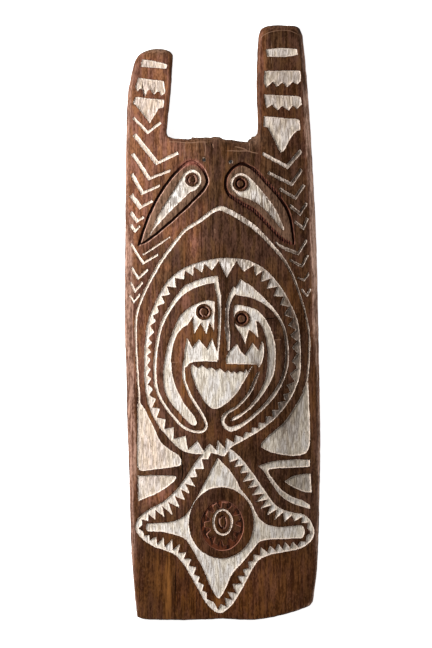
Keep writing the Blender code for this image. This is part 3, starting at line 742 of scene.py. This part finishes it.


# Where the wood and the lime differ over the board: X, Y, the reach in X and in Y, and the strength.
# Worn is lime worn away, streaky is lime with dark slashes, and the last list is where the painted
# highlight on the rosette's pink edge is strongest.
SPOTS = {
    "warm": [
        (-120, 830, 44, 130, 0.8), (-140, 655, 26, 90, 1), (-80, 622, 20, 16, 0.8),
        (-46, 602, 11, 32, 0.9), (-32, 661, 7, 10, 0.6), (-90, 565, 10, 7, 0.5), (-60, 518, 9, 13, 0.6),
        (-98, 198, 38, 16, 0.8), (-9, 25, 7, 9, 0.3), (147, 430, 8, 90, 0.5), (64, 890, 7, 80, 0.5),
        (85, 60, 60, 40, 0.2), (-120, 440, 30, 120, 0.55), (-60, 345, 12, 40, 0.5), (60, 925, 6, 30, 0.5),
        (-70, 410, 8, 60, 0.5), (-75, 745, 40, 30, 0.45), (-146, 250, 8, 160, 0.6), (-84, 830, 8, 80, 0.6),
        (-62, 470, 10, 50, 0.5), (-66, 640, 30, 20, 0.4), (136, 780, 8, 90, 0.4),
    ],
    "gold": [
        (-34, 455, 20, 17, 0.6), (50, 450, 9, 12, 0.5), (23, 408, 30, 4.5, 0.6), (-59, 374, 7, 26, 0.6),
        (45, 384, 12, 14, 0.4), (-118, 327, 5, 8, 0.6), (24, 335, 5, 6, 0.7), (-87, 56, 6, 58, 0.8),
        (-104, 70, 3, 40, 0.3), (40, 142, 8, 20, 0.35), (27, 200, 12, 9, 0.35), (8, 750, 10, 10, 0.4),
        (100, 60, 30, 30, 0.1), (-24, 706, 4, 30, 0.35), (-9, 30, 5, 12, 0.95), (146, 352, 5, 60, 0.3),
        (-60, 590, 5, 30, 0.4), (112, 520, 16, 30, 0.4), (-6, 590, 14, 14, 0.2), (6, 700, 8, 30, 0.3),
    ],
    "dark": [
        (118, 430, 34, 170, 0.95), (110, 690, 44, 90, 0.55), (-9, 278, 20, 12, 0.7),
        (42, 268, 22, 20, 0.85), (-115, 30, 10, 22, 0.85), (-79, 56, 3, 36, 0.75), (-9, 733, 6, 34, 0.85),
        (20, 628, 36, 26, 0.5), (20, 750, 26, 18, 0.35), (140, 40, 14, 16, 0.6), (-30, 150, 10, 40, 0.1),
        (10, 500, 14, 60, 0.45), (105, 230, 40, 34, 0.8), (0, 320, 22, 16, 0.45), (60, 350, 44, 44, 0.75),
        (0, 580, 60, 14, 0.4), (16, 120, 40, 34, 0.6), (0, 199, 28, 10, 0.8), (60, 620, 30, 30, 0.3),
        (110, 100, 40, 90, 0.4), (0, 545, 90, 60, 0.3), (105, 870, 40, 90, 0.2), (66, 682, 34, 34, 0.35),
        (4, 103, 34, 9, 0.7), (40, 152, 9, 30, 0.5), (-136.2, 300, 1.7, 80, 0.9), (66, 452, 10, 20, 0.9),
        # On the next line, the spot at X 43, Y 769 is painted shade beside the notch's broken steps
        (-10, 771, 62, 7, 0.3), (46, 354, 14, 20, 0.6), (43, 769, 6, 5, 0.9), (-49, 704.5, 8, 8, 0.7),
    ],
    "grey": [
        (110, 400, 42, 190, 0.98), (115, 220, 46, 34, 0.95), (112, 680, 34, 75, 0.35),
        (95, 860, 40, 90, 0.42), (40, 190, 40, 60, 0.35), (90, 120, 60, 30, 0.5), (0, 60, 40, 60, 0.15),
        (-115, 870, 30, 40, 0.1), (60, 430, 30, 60, 0.35), (118, 560, 26, 60, 0.8), (40, 240, 20, 30, 0.3),
        (0, 280, 60, 20, 0.3), (70, 660, 30, 36, 0.25), (0, 380, 40, 30, 0.12), (0, 225, 24, 26, 0.14),
        (-12, 164, 12, 16, 0.5), (-86, 400, 16, 60, 0.13),
    ],
    "red": [(-52, 729, 17, 9, 0.9), (-33, 725, 6, 7, 0.5)],
    "amber": [
        (0, 40, 190, 70, 0.95), (-100, 100, 40, 60, 0.6), (100, 80, 50, 60, 0.8), (0, 300, 40, 20, 0.5),
        (30, 560, 60, 10, 0.4), (-30, 470, 30, 40, 0.5), (105, 870, 10, 90, 0.3), (60, 850, 9, 100, 0.9),
        (0, 156, 50, 55, 0.5), (118, 500, 20, 60, 0.5), (-120, 330, 16, 60, 0.5), (0, 440, 8, 60, 0.5),
        (100, 810, 40, 70, 0.4), (50, 320, 60, 60, 0.5),
    ],
    "olive": [
        (-104, 911, 26, 6, 1), (-20, 773, 60, 6, 0.9), (24, 770, 20, 6, 0.9), (48, 768, 14, 12, 0.9),
    ],
    "worn": [
        (122, 655, 30, 50, 0.95), (119, 722, 14, 36, 0.9), (118, 560, 28, 50, 1), (8, 478, 8, 42, 1),
        (-5.5, 486, 4, 26, 0.75), (52, 385, 14, 26, 0.95), (99, 400, 14, 80, 0.9), (70, 340, 24, 22, 0.7),
        (112, 475, 16, 60, 0.8), (130, 480, 10, 60, 0.9), (90, 700, 20, 20, 0.4), (80, 320, 20, 20, 0.5),
        (-12, 164, 8, 14, 0.6), (54, 398, 7, 12, 1), (46, 376, 7, 12, 1), (30, 360, 9, 10, 1),
        (17, 345, 9, 9, 1), (3, 334, 8, 8, 0.8),
    ],
    "streaky": [
        (71, 662, 30, 40, 1), (55, 600, 55, 50, 1), (98, 840, 36, 90, 0.35), (-120, 850, 34, 60, 0.6),
        (-75, 665, 40, 50, 0.75), (40, 540, 24, 12, 0.5), (0, 560, 90, 20, 0.5), (-100, 240, 40, 40, 0.2),
        (80, 710, 40, 40, 0.7), (30, 640, 40, 30, 0.9),
    ],
    "white": [(-76, 670, 24, 30, 0.9)],
    "pink": [
        (-120, 840, 46, 130, 0.9), (-115, 270, 34, 90, 0.9), (-75, 665, 44, 54, 0.25),
        (98, 840, 40, 90, 0.6), (-130, 620, 30, 160, 0.8), (60, 610, 60, 60, 0.5), (-1, 156, 20, 24, 0.9),
    ],
    "rubbed": [
        (28, 142, 9, 26, 0.8), (8, 114, 20, 8, 0.75), (-33, 168, 8, 20, 0.6), (-27, 132, 9, 14, 0.8),
        (-14, 186, 14, 6, 0.5), (8, 190, 10, 5, 0.5),
    ],
}
# Paler strips along the two sides, worn bare wood and on the right also a painted highlight: the side,
# from Y to Y, the strip's width and its strength
PALE_STRIPS = [
    (-1, 230, 640, 13, 0.7), (-1, 110, 250, 6, 0.7), (-1, 20, 130, 2.5, 0.6), (-1, 620, 880, 5, 0.5),
    (1, 540, 850, 8.5, 0.9), (1, 435, 560, 9, 0.85), (1, 225, 450, 4.6, 1), (1, 105, 245, 4, 0.7),
    (1, 20, 120, 1.6, 0.6), (1, 820, 930, 3.5, 0.8),
]
STRIP_FADE = 25.0
STRIPS_FROM = 100.0
# Rows of small cuts across the grooves of the right beak, their spacing and the rows' reach
NICK_ROWS = [
    [(14, 677.5), (30, 666.5), (51, 654), (66, 638.5), (82, 622), (98, 607), (108, 603)],
    [(49, 720.5), (71, 700), (92, 677.5)],
]
NICK_PITCH = 3.9
NICK_REACH = 4.0


def spread(x, y, spots):
    """The spots as one smooth share from 0 to 1 at each place."""
    bare = np.ones(len(x))
    for middle_x, middle_y, reach_x, reach_y, strength in spots:
        away = ((x - middle_x) / reach_x) ** 2 + ((y + HALF_LENGTH - middle_y) / reach_y) ** 2
        bare *= 1 - strength * np.exp(-away)
    return 1 - bare


def pale_strips(x, y, rim):
    """How pale the wood is at each place along the sides: worn bare, and paler on the right as a painted
    highlight.
    """
    y = y + HALF_LENGTH
    ragged = rim + 1.6 * noise(x / 3, y / 28, 71)
    found = np.zeros(len(x))
    for side, low, high, width, strength in PALE_STRIPS:
        along = np.clip(np.minimum(y - low, high - y) / STRIP_FADE + 0.5, 0, 1)
        across = np.clip((width - ragged) / 3 + 0.5, 0, 1)
        found = np.maximum(found, strength * along * across * (x * side > STRIPS_FROM))
    return found


# The piece

BAKE_SIDE = 740.0
BAKE_GAP = 6.0
BAKE_SHARE = 0.6
SIDE_STRIPS = 4
# What the front's looks are on the sides and the back where that isn't 0, and the span of all looks
OFF_FRONT = {"width": 1.0, "crack": 20.0, "scuff": 20.0, "lime": -20.0, "ochre": -20.0, "groove": -20.0}
LOOK_SPAN = (-30, 200)


def add_object(name, data):
    made = bpy.data.objects.new(name, data)
    bpy.context.scene.collection.objects.link(made)
    return made


def bake_places(places, faces, blocks, rim):
    """A place on the bake's square for each corner of each face.

    The front lies in two halves side by side, the back below them on its side, and the sides in strips.
    """
    corner = places[faces]
    x, y, z = corner[..., 0], corner[..., 1], corner[..., 2]
    half = BOARD_WIDTH / 2
    upper = y.mean(axis=1, keepdims=True) > 0
    u = x + half + BAKE_GAP + np.where(upper, 0, BOARD_WIDTH + BAKE_GAP)
    v = np.where(upper, y, y + HALF_LENGTH) + BAKE_GAP

    back = blocks == BACK
    top_of_halves = HALF_LENGTH + 3 * BAKE_GAP
    u[back] = (y[back] + HALF_LENGTH) * BAKE_SHARE + BAKE_GAP
    v[back] = (x[back] + half) * BAKE_SHARE + top_of_halves

    along = travelled(ring_of(rim))
    strip_length = along[-1] / SIDE_STRIPS
    sides = blocks == SIDE
    at = along[nearest(tree_of(rim), corner[sides][..., :2].reshape(-1, 2))].reshape(-1, 3)
    at = np.where(at < at.max(axis=1, keepdims=True) - along[-1] / 2, at + along[-1], at)
    row = np.minimum(at.mean(axis=1) // strip_length, SIDE_STRIPS - 1)[:, None]
    strip_height = BOARD_HEIGHT * BAKE_SHARE + BAKE_GAP
    top_of_back = top_of_halves + BOARD_WIDTH * BAKE_SHARE + BAKE_GAP
    u[sides] = (at - row * strip_length) * BAKE_SHARE + 2 * BAKE_GAP
    v[sides] = z[sides] * BAKE_SHARE + top_of_back + row * strip_height
    return np.stack([u, v], axis=-1) / BAKE_SIDE


def shield_piece(board):
    front = Surface(board)
    shell = Shell(board, front)
    places, faces, blocks = (np.concatenate(part) for part in (shell.points, shell.faces, shell.blocks))
    whole = (faces != np.roll(faces, 1, axis=1)).all(axis=1)
    faces, blocks = faces[whole], blocks[whole]
    used, names = np.unique(faces, return_inverse=True)
    names = names.reshape(-1, 3)
    places = places[used]

    mesh = bpy.data.meshes.new("carved_board")
    mesh.from_pydata((places * MM).tolist(), [], names.tolist())
    uv = mesh.uv_layers.new(name="OFBake")
    corners = bake_places(places, names, blocks, front.points[shell.rim])
    uv.data.foreach_set("uv", corners.ravel().astype(np.float32))

    x, y, _ = places.T
    last = len(front.points) - 1
    looks = {name: np.where(used <= last, values[np.minimum(used, last)], OFF_FRONT.get(name, 0.0))
             for name, values in front.looks.items()}
    spots = {name: spread(x, y, given) for name, given in SPOTS.items()}
    looks["olive"] = np.maximum(looks["olive"], spots.pop("olive"))
    looks["hidden"] = (used > last).astype(float)
    nicks = (spaced(np.array(row) - (0, HALF_LENGTH), TRACE_STEP) for row in NICK_ROWS)
    looks["nick"] = distances(tree_of(*nicks), places[:, :2])
    looks["hole"] = distances(tree_of(np.array(CORD_HOLES) - (0, HALF_LENGTH)), places[:, :2])
    for name, values in (looks | spots).items():
        attribute = mesh.attributes.new(name, "FLOAT", "POINT")
        attribute.data.foreach_set("value", np.clip(values, *LOOK_SPAN).astype(np.float32))
    mesh.shade_smooth()
    mesh.set_sharp_from_angle(angle=SHARP_ANGLE)
    mesh.materials.append(carved_wood())
    print("carved_board:", len(used), "points,", len(names), "triangles")
    return add_object("carved_board", mesh)


# Materials

class Number:
    """A number that a material's nodes work out. A sum or product of numbers puts down another node."""

    def __init__(self, maths, socket):
        self.maths = maths
        self.socket = socket

    def __add__(self, other):
        return self.maths("ADD", self, other)

    def __sub__(self, other):
        return self.maths("SUBTRACT", self, other)

    def __rsub__(self, other):
        return self.maths("SUBTRACT", other, self)

    def __mul__(self, other):
        return self.maths("MULTIPLY", self, other)

    def clamped(self):
        """The same number, kept from 0 to 1."""
        self.socket.node.use_clamp = True
        return self


class Shading:
    """A material's nodes, put down by name with their inputs."""

    def __init__(self, name):
        self.material = bpy.data.materials.new(name)
        self.material.use_nodes = True
        self.tree = self.material.node_tree
        self.shader = self.tree.nodes["Principled BSDF"]
        self.place = self.put("ShaderNodeTexCoord").outputs["Object"]

    def put(self, kind, inputs=(), **settings):
        node = self.tree.nodes.new(kind)
        for name, value in settings.items():
            setattr(node, name, value)
        for name, value in dict(inputs).items():
            self.feed(node.inputs[name], value)
        return node

    def feed(self, socket, value):
        if isinstance(value, Number):
            value = value.socket
        if isinstance(value, bpy.types.NodeSocket):
            self.tree.links.new(value, socket)
        else:
            socket.default_value = value

    def number(self, output, kind, inputs=(), **settings):
        return Number(self.maths, self.put(kind, inputs, **settings).outputs[output])

    def attributes(self, names):
        return [self.number("Fac", "ShaderNodeAttribute", attribute_name=name) for name in names.split()]

    def noise(self, across, along, seed, detail=2.0, rough=0.5):
        """Noise from 0 to 1 whose marks are about this many millimetres across and along the grain."""
        scale = (1 / (across * MM), 1 / (along * MM), 1 / (across * MM))
        stretched = self.put("ShaderNodeMapping", {"Vector": self.place, "Scale": scale,
                                                   "Location": (seed, 2.3 * seed, 0)})
        return self.number("Fac", "ShaderNodeTexNoise", {
            "Vector": stretched.outputs["Vector"], "Scale": 1.0, "Detail": detail, "Roughness": rough,
        })

    def maths(self, operation, *values):
        inputs = dict(enumerate(values))
        return self.number("Value", "ShaderNodeMath", inputs, operation=operation)

    def step(self, value, low, high):
        """0 below low and 1 above high, with a smooth rise between. Low may be the larger."""
        return self.number("Result", "ShaderNodeMapRange", {
            "Value": value, "From Min": low, "From Max": high,
        }, interpolation_type="SMOOTHSTEP")

    def along_x(self, vector):
        return self.number("X", "ShaderNodeSeparateXYZ", {"Vector": vector})

    def mix(self, share, a, b, blend="MIX"):
        node = self.put("ShaderNodeMix", data_type="RGBA", blend_type=blend)
        for name, value in (("Factor_Float", share), ("A_Color", a), ("B_Color", b)):
            socket = next(s for s in node.inputs if s.identifier == name)
            if isinstance(value, tuple):
                value = (*value, 1.0)
            self.feed(socket, value)
        return next(s for s in node.outputs if s.identifier == "Result_Color")

    def over(self, base, *layers):
        """The base with layers over it in turn, each a share, a colour and, if not MIX, its blending."""
        for share, *layer in layers:
            base = self.mix(share, base, *layer)
        return base


def carved_wood():
    s = Shading("carved_wood")
    mix, step = s.mix, s.step
    rim, width, lime, ochre, groove, olive = s.attributes("rim width lime ochre groove olive")
    warm, gold, dark, grey, pale, amber = s.attributes("warm gold dark grey pale amber")
    pink, white, red, worn, streaky, highlight_strength = s.attributes("pink white red worn streaky rubbed")
    nick, hole, crack, scuff, hidden = s.attributes("nick hole crack scuff hidden")

    pores = s.noise(1.4, 7, 1)
    fibres = s.noise(2.5, 38, 2, 3)
    bands = s.noise(9, 130, 3, 3)
    clouds = s.noise(30, 46, 4, 3)
    mottle = s.noise(4.6, 12, 8, 3, 0.6)
    flecks = s.noise(1.8, 5.0, 9)
    specks = s.noise(1.9, 3.2, 5)
    hues = s.noise(9, 38, 10, 2, 0.45)
    brush = s.noise(1.5, 13, 6)
    broad_brush = s.noise(3.6, 40, 7)
    stripes = s.noise(2.1, 15, 12, 1, 0.4)

    # Bare wood
    grain = step(bands * 0.2 + fibres * 0.34 + mottle * 0.2 + flecks * 0.26, 0.42, 0.58)
    hue = step(hues, 0.42, 0.58)
    cool = mix(hue, mix(grain, (0.033, 0.013, 0.0062), (0.113, 0.052, 0.033)),
               mix(grain, (0.036, 0.0145, 0.0052), (0.122, 0.058, 0.027)))
    rosy = mix(hue, mix(grain, (0.12, 0.041, 0.021), (0.345, 0.146, 0.094)),
               mix(grain, (0.132, 0.044, 0.016), (0.38, 0.156, 0.072)))
    tan = mix(hue, mix(grain, (0.038, 0.01, 0.002), (0.114, 0.038, 0.0112)),
              mix(grain, (0.041, 0.0114, 0.0012), (0.126, 0.0425, 0.0078)))
    wood = s.over(
        mix(warm, mix(amber, cool, tan), rosy),
        (step(clouds, 0.38, 0.68) * 0.75, (0.58, 0.55, 0.52), "MULTIPLY"),
        ((gold * (step(fibres, 0.38, 0.6) + 0.35)).clamped(), (0.215, 0.083, 0.02)),
        ((dark * (step(bands, 0.7, 0.3) * 0.5 + 0.6)).clamped() * 0.88,
         mix(grain, (0.012, 0.0034, 0.0007), (0.038, 0.0156, 0.0064))),
        (step(pores, 0.44, 0.33) * 0.28, (0.25, 0.23, 0.22), "MULTIPLY"),
        (step(specks, 0.62, 0.74) * 0.26, (0.22, 0.11, 0.065)),
    )

    # The bands inside the beaks, and the facets where the board broke, with a painted shade where they meet
    # the board's edge
    band = mix(grain, (0.066, 0.034, 0.019), (0.205, 0.117, 0.073))
    dull = mix(grain, (0.034, 0.0165, 0.0095), (0.112, 0.055, 0.033))
    band = mix((s.maths("MAXIMUM", grey, dark) * 0.95).clamped(), band, dull)
    # Painted shade along the broken facets where they meet the board's edge
    ledge_shade = olive * step(rim, 2.5, 1.1)
    wood = s.over(wood, (olive * 0.85, band), (ledge_shade * 0.85, (0.085, 0.058, 0.036)))

    # The worn bevel, the paler strips along the sides with a painted highlight on the right, and the dark
    # brink, a painted shade along the very edge
    shown = 1.0 - hidden
    bevel = step(rim + (bands - 0.5) * 5 - width, 0.5, -0.9) * shown
    side = s.along_x(s.place)
    # Bare wood on the sides, paler on the right as a painted highlight
    bare_and_highlit = mix(step(side, -0.02, 0.02), mix(grain, (0.13, 0.06, 0.04), (0.46, 0.275, 0.205)),
                mix(grain, (0.26, 0.135, 0.088), (0.72, 0.455, 0.34)))
    streaked = step(fibres, 0.38, 0.54) * 0.45 + 0.6
    wood = s.over(
        wood,
        (bevel * (1.0 - olive) * 0.3, mix(grain, (0.07, 0.028, 0.013), (0.165, 0.073, 0.038))),
        ((pale * streaked).clamped(), bare_and_highlit),
        # A painted shade along the very edge of the board
        (step(rim, 0.9, 0.2) * shown * 0.55, (0.05, 0.026, 0.017)),
    )

    # The grooves round the beaks and their nicks. The walls facing left get a painted highlight, brighter on
    # the left half, and the others a painted shadow
    facing = s.along_x(s.put("ShaderNodeNewGeometry").outputs["Normal"])
    lit = s.over(
        mix(step(side, -0.012, 0.012), (0.54, 0.32, 0.24), (0.27, 0.12, 0.08)),
        (step(mottle, 0.62, 0.4), (0.5, 0.42, 0.37), "MULTIPLY"),
        (dark, (0.45, 0.36, 0.31), "MULTIPLY"),
    )
    wave = s.maths("SINE", side * (2 * math.pi / (NICK_PITCH * MM)) + mottle * 9)
    nicked = mix(step(wave, -0.35, 0.2), mix(grain, (0.05, 0.016, 0.01), (0.16, 0.055, 0.037)),
                 (0.006, 0.002, 0.0015))
    row = step(nick + flecks * 3.0, NICK_REACH + 1.9, 0.5 * NICK_REACH + 1.5)
    wood = s.over(
        wood,
        # Painted highlight on the groove walls that face left, painted shadow on the others
        (step(groove, -0.4, 0.15), mix(step(facing, -0.05, -0.4), (0.023, 0.005, 0.0024), lit)),
        # The groove's middle painted near-black: partly the groove's own dark wood, partly painted shade
        (step(groove, 0.8, 1.3), (0.0105, 0.0025, 0.0013)),
        (red * step(groove, -4.5, -0.2), mix(grain, (0.12, 0.034, 0.022), (0.33, 0.12, 0.085))),
        (row * 0.9, nicked),
    )

    # Cord holes with painted shade inside, scuffs, cracks with painted shade in them, then red ochre in the
    # rosette with a painted pink highlight along its edges, and painted shade on the wood beside the lime
    # The band along the rosette's cut edges, which gets a painted pink highlight
    rubbed = step(ochre, -0.4, 0.1) * step(ochre, 0.95, 0.5)
    wood = s.over(
        wood,
        (step(hole, HOLE_RADIUS + 1.5, HOLE_RADIUS + 0.5) * step(specks, 0.52, 0.6), (0.42, 0.32, 0.25)),
        # Painted shade inside the cord holes
        (step(hole, HOLE_RADIUS, HOLE_RADIUS - 0.4), (0.006, 0.003, 0.002)),
        (step(scuff, 0.35, -0.15) * 0.52, (0.34, 0.19, 0.12)),
        # Cracks painted near-black, a painted shade in the crevices
        (step(crack, 0.25, -0.2), (0.008, 0.004, 0.003)),
        (step(ochre + (specks - 0.5) * 2.4, -1.6, 0.4) * 0.9,
         mix(step(mottle, 0.42, 0.62), (0.012, 0.0034, 0.0018), (0.092, 0.0245, 0.01))),
        # Painted pink highlight on the rosette's edges, strongest in the listed spots
        ((rubbed * (highlight_strength + 0.24)).clamped(), (0.42, 0.18, 0.12)),
        # Painted shadow on the wood just outside the lime's edges
        (step(lime, -1.9, -0.3) * 0.4, (0.42, 0.38, 0.36), "MULTIPLY"),
    )

    # Lime: a painted highlight along its edges, brighter on the left half, brush marks along the grain,
    # grey and thin on the right, worn off thin lines
    ragged = lime + (specks - 0.5) * 2.2 + (mottle - 0.5) * 1.5
    missing = worn * step(mottle, 0.52, 0.44)
    limed = step(ragged, -0.1, 0.35) * (1.0 - missing * 0.7)
    inner = step(ragged, 1.0, 2.0)
    tone = step(brush * 0.76 + broad_brush * 0.24, 0.4, 0.58)
    body = s.over(
        mix(tone, (0.445, 0.384, 0.322), (0.8, 0.738, 0.665)),
        (grey * 0.95, mix(tone, (0.105, 0.081, 0.058), (0.28, 0.226, 0.175))),
        (1.0, mix(hue, (1.0, 0.985, 0.94), (0.98, 1.0, 1.05)), "MULTIPLY"),
        (pink, (1.0, 0.87, 0.8), "MULTIPLY"),
        (white, mix(tone, (0.62, 0.57, 0.52), (0.9, 0.87, 0.83))),
    )
    stroke = step(brush, 0.38, 0.6)
    chalk = s.over(
        # The lime's edge colour, a painted highlight, brighter on the left half; the body goes over it
        # further in
        mix(stroke, (0.56, 0.44, 0.355), (0.88, 0.74, 0.635)),
        (step(side, 0.02, -0.03), mix(stroke, (0.7, 0.57, 0.47), (0.97, 0.86, 0.76))),
        (grey * 0.35, (0.45, 0.36, 0.29)),
        (inner, body),
        ((step(stripes, 0.54, 0.45) * (streaky * 0.8 + 0.12)).clamped(), (0.12, 0.082, 0.058)),
        (step(specks, 0.59, 0.69) * (inner * 0.62), (0.15, 0.115, 0.085)),
        (worn * step(ragged, 0.45, 0.95) * 0.95, mix(grain, (0.03, 0.016, 0.01), (0.1, 0.057, 0.038))),
    )
    colour = mix(limed, wood, chalk)

    # The plainer back and sides
    plain = s.over(
        mix(step(bands, 0.3, 0.7), (0.055, 0.0255, 0.0145), (0.115, 0.054, 0.031)),
        (step(fibres, 0.52, 0.3) * 0.6, (0.02, 0.01, 0.007)),
        # Painted shade on the walls of the cord holes and round their exits on the back
        (step(hole, HOLE_RADIUS + 4, HOLE_RADIUS + 1), (0.005, 0.0022, 0.0014)),
    )
    s.feed(s.shader.inputs["Base Color"], mix(hidden, colour, plain))

    sheen = (fibres - 0.5) * 0.5 + 0.5
    s.feed(s.shader.inputs["Roughness"], (limed * 0.38 + sheen).clamped())
    s.shader.inputs["Specular IOR Level"].default_value = 0.05

    relief = (pores + (fibres + mottle)) * 0.26 + (specks * 1.3 + brush * 1.5) * 0.36 * limed
    bump = s.put("ShaderNodeBump", {"Height": relief, "Strength": 1.0, "Distance": MM})
    s.feed(s.shader.inputs["Normal"], bump.outputs["Normal"])
    return s.material


FLOOR_GLOW = 0.88
FLOOR_GREY = 0.86


def floor_material():
    """A white floor that glows faintly, as paper on a light table does."""
    s = Shading("pale_floor")
    s.shader.inputs["Base Color"].default_value = (FLOOR_GREY, FLOOR_GREY, FLOOR_GREY, 1)
    s.shader.inputs["Roughness"].default_value = 0.9
    s.shader.inputs["Emission Color"].default_value = (1, 1, 1, 1)
    s.shader.inputs["Emission Strength"].default_value = FLOOR_GLOW
    return s.material


# The studio

# The place of each soft box, its width and its height along the board, and its watts
LIGHTS = {"key": ((-1.3, 0.5, 1.25), (0.3, 0.8), 58), "fill": ((2.2, -0.8, 1.6), (1.6, 1.6), 7)}
SKY_STRENGTH = 0.17
FLOOR_SIZE = 12.0
FRAME_HEIGHT = 1.0368
CAMERA_HEIGHT = 4.0
SENSOR = 36.0
CAMERA_SHIFT = (-0.01045, -0.0024)
BOARD_TOP = 0.02


def studio():
    scene = bpy.context.scene
    mesh = bpy.data.meshes.new("floor")
    half = FLOOR_SIZE / 2
    mesh.from_pydata([(-half, -half, 0), (half, -half, 0), (half, half, 0), (-half, half, 0)], [],
                     [(0, 1, 2, 3)])
    mesh.materials.append(floor_material())
    floor = add_object("floor", mesh)

    for name, (place, size, watts) in LIGHTS.items():
        light = bpy.data.lights.new(name, "AREA")
        light.shape = "RECTANGLE"
        light.size, light.size_y = size
        light.energy = watts
        lamp = add_object(name, light)
        lamp.location = place
        lamp.rotation_euler = (-Vector(place)).to_track_quat("-Z", "Y").to_euler()
    world = bpy.data.worlds.new("studio")
    world.use_nodes = True
    world.node_tree.nodes["Background"].inputs["Color"].default_value = (1, 1, 1, 1)
    world.node_tree.nodes["Background"].inputs["Strength"].default_value = SKY_STRENGTH
    scene.world = world
    scene.view_settings.view_transform = "Standard"

    lens = bpy.data.cameras.new("camera")
    lens.sensor_width = SENSOR
    lens.lens = SENSOR * (CAMERA_HEIGHT - BOARD_TOP) / FRAME_HEIGHT
    scene.camera = add_object("camera", lens)
    scene.camera.location = (*CAMERA_SHIFT, CAMERA_HEIGHT)


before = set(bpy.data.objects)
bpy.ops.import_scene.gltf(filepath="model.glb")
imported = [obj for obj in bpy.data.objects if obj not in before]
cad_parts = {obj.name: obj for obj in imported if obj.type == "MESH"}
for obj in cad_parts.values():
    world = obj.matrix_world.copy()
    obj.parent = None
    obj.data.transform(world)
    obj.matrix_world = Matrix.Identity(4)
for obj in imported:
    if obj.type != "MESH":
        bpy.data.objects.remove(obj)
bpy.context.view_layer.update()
low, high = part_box("shield_board")
TOP = high.z / MM
HALF_LENGTH = (high.y - low.y) / MM / 2
board = Board(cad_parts["shield_board"])
piece = shield_piece(board)
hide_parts("shield_board")
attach(piece, "root")
studio()
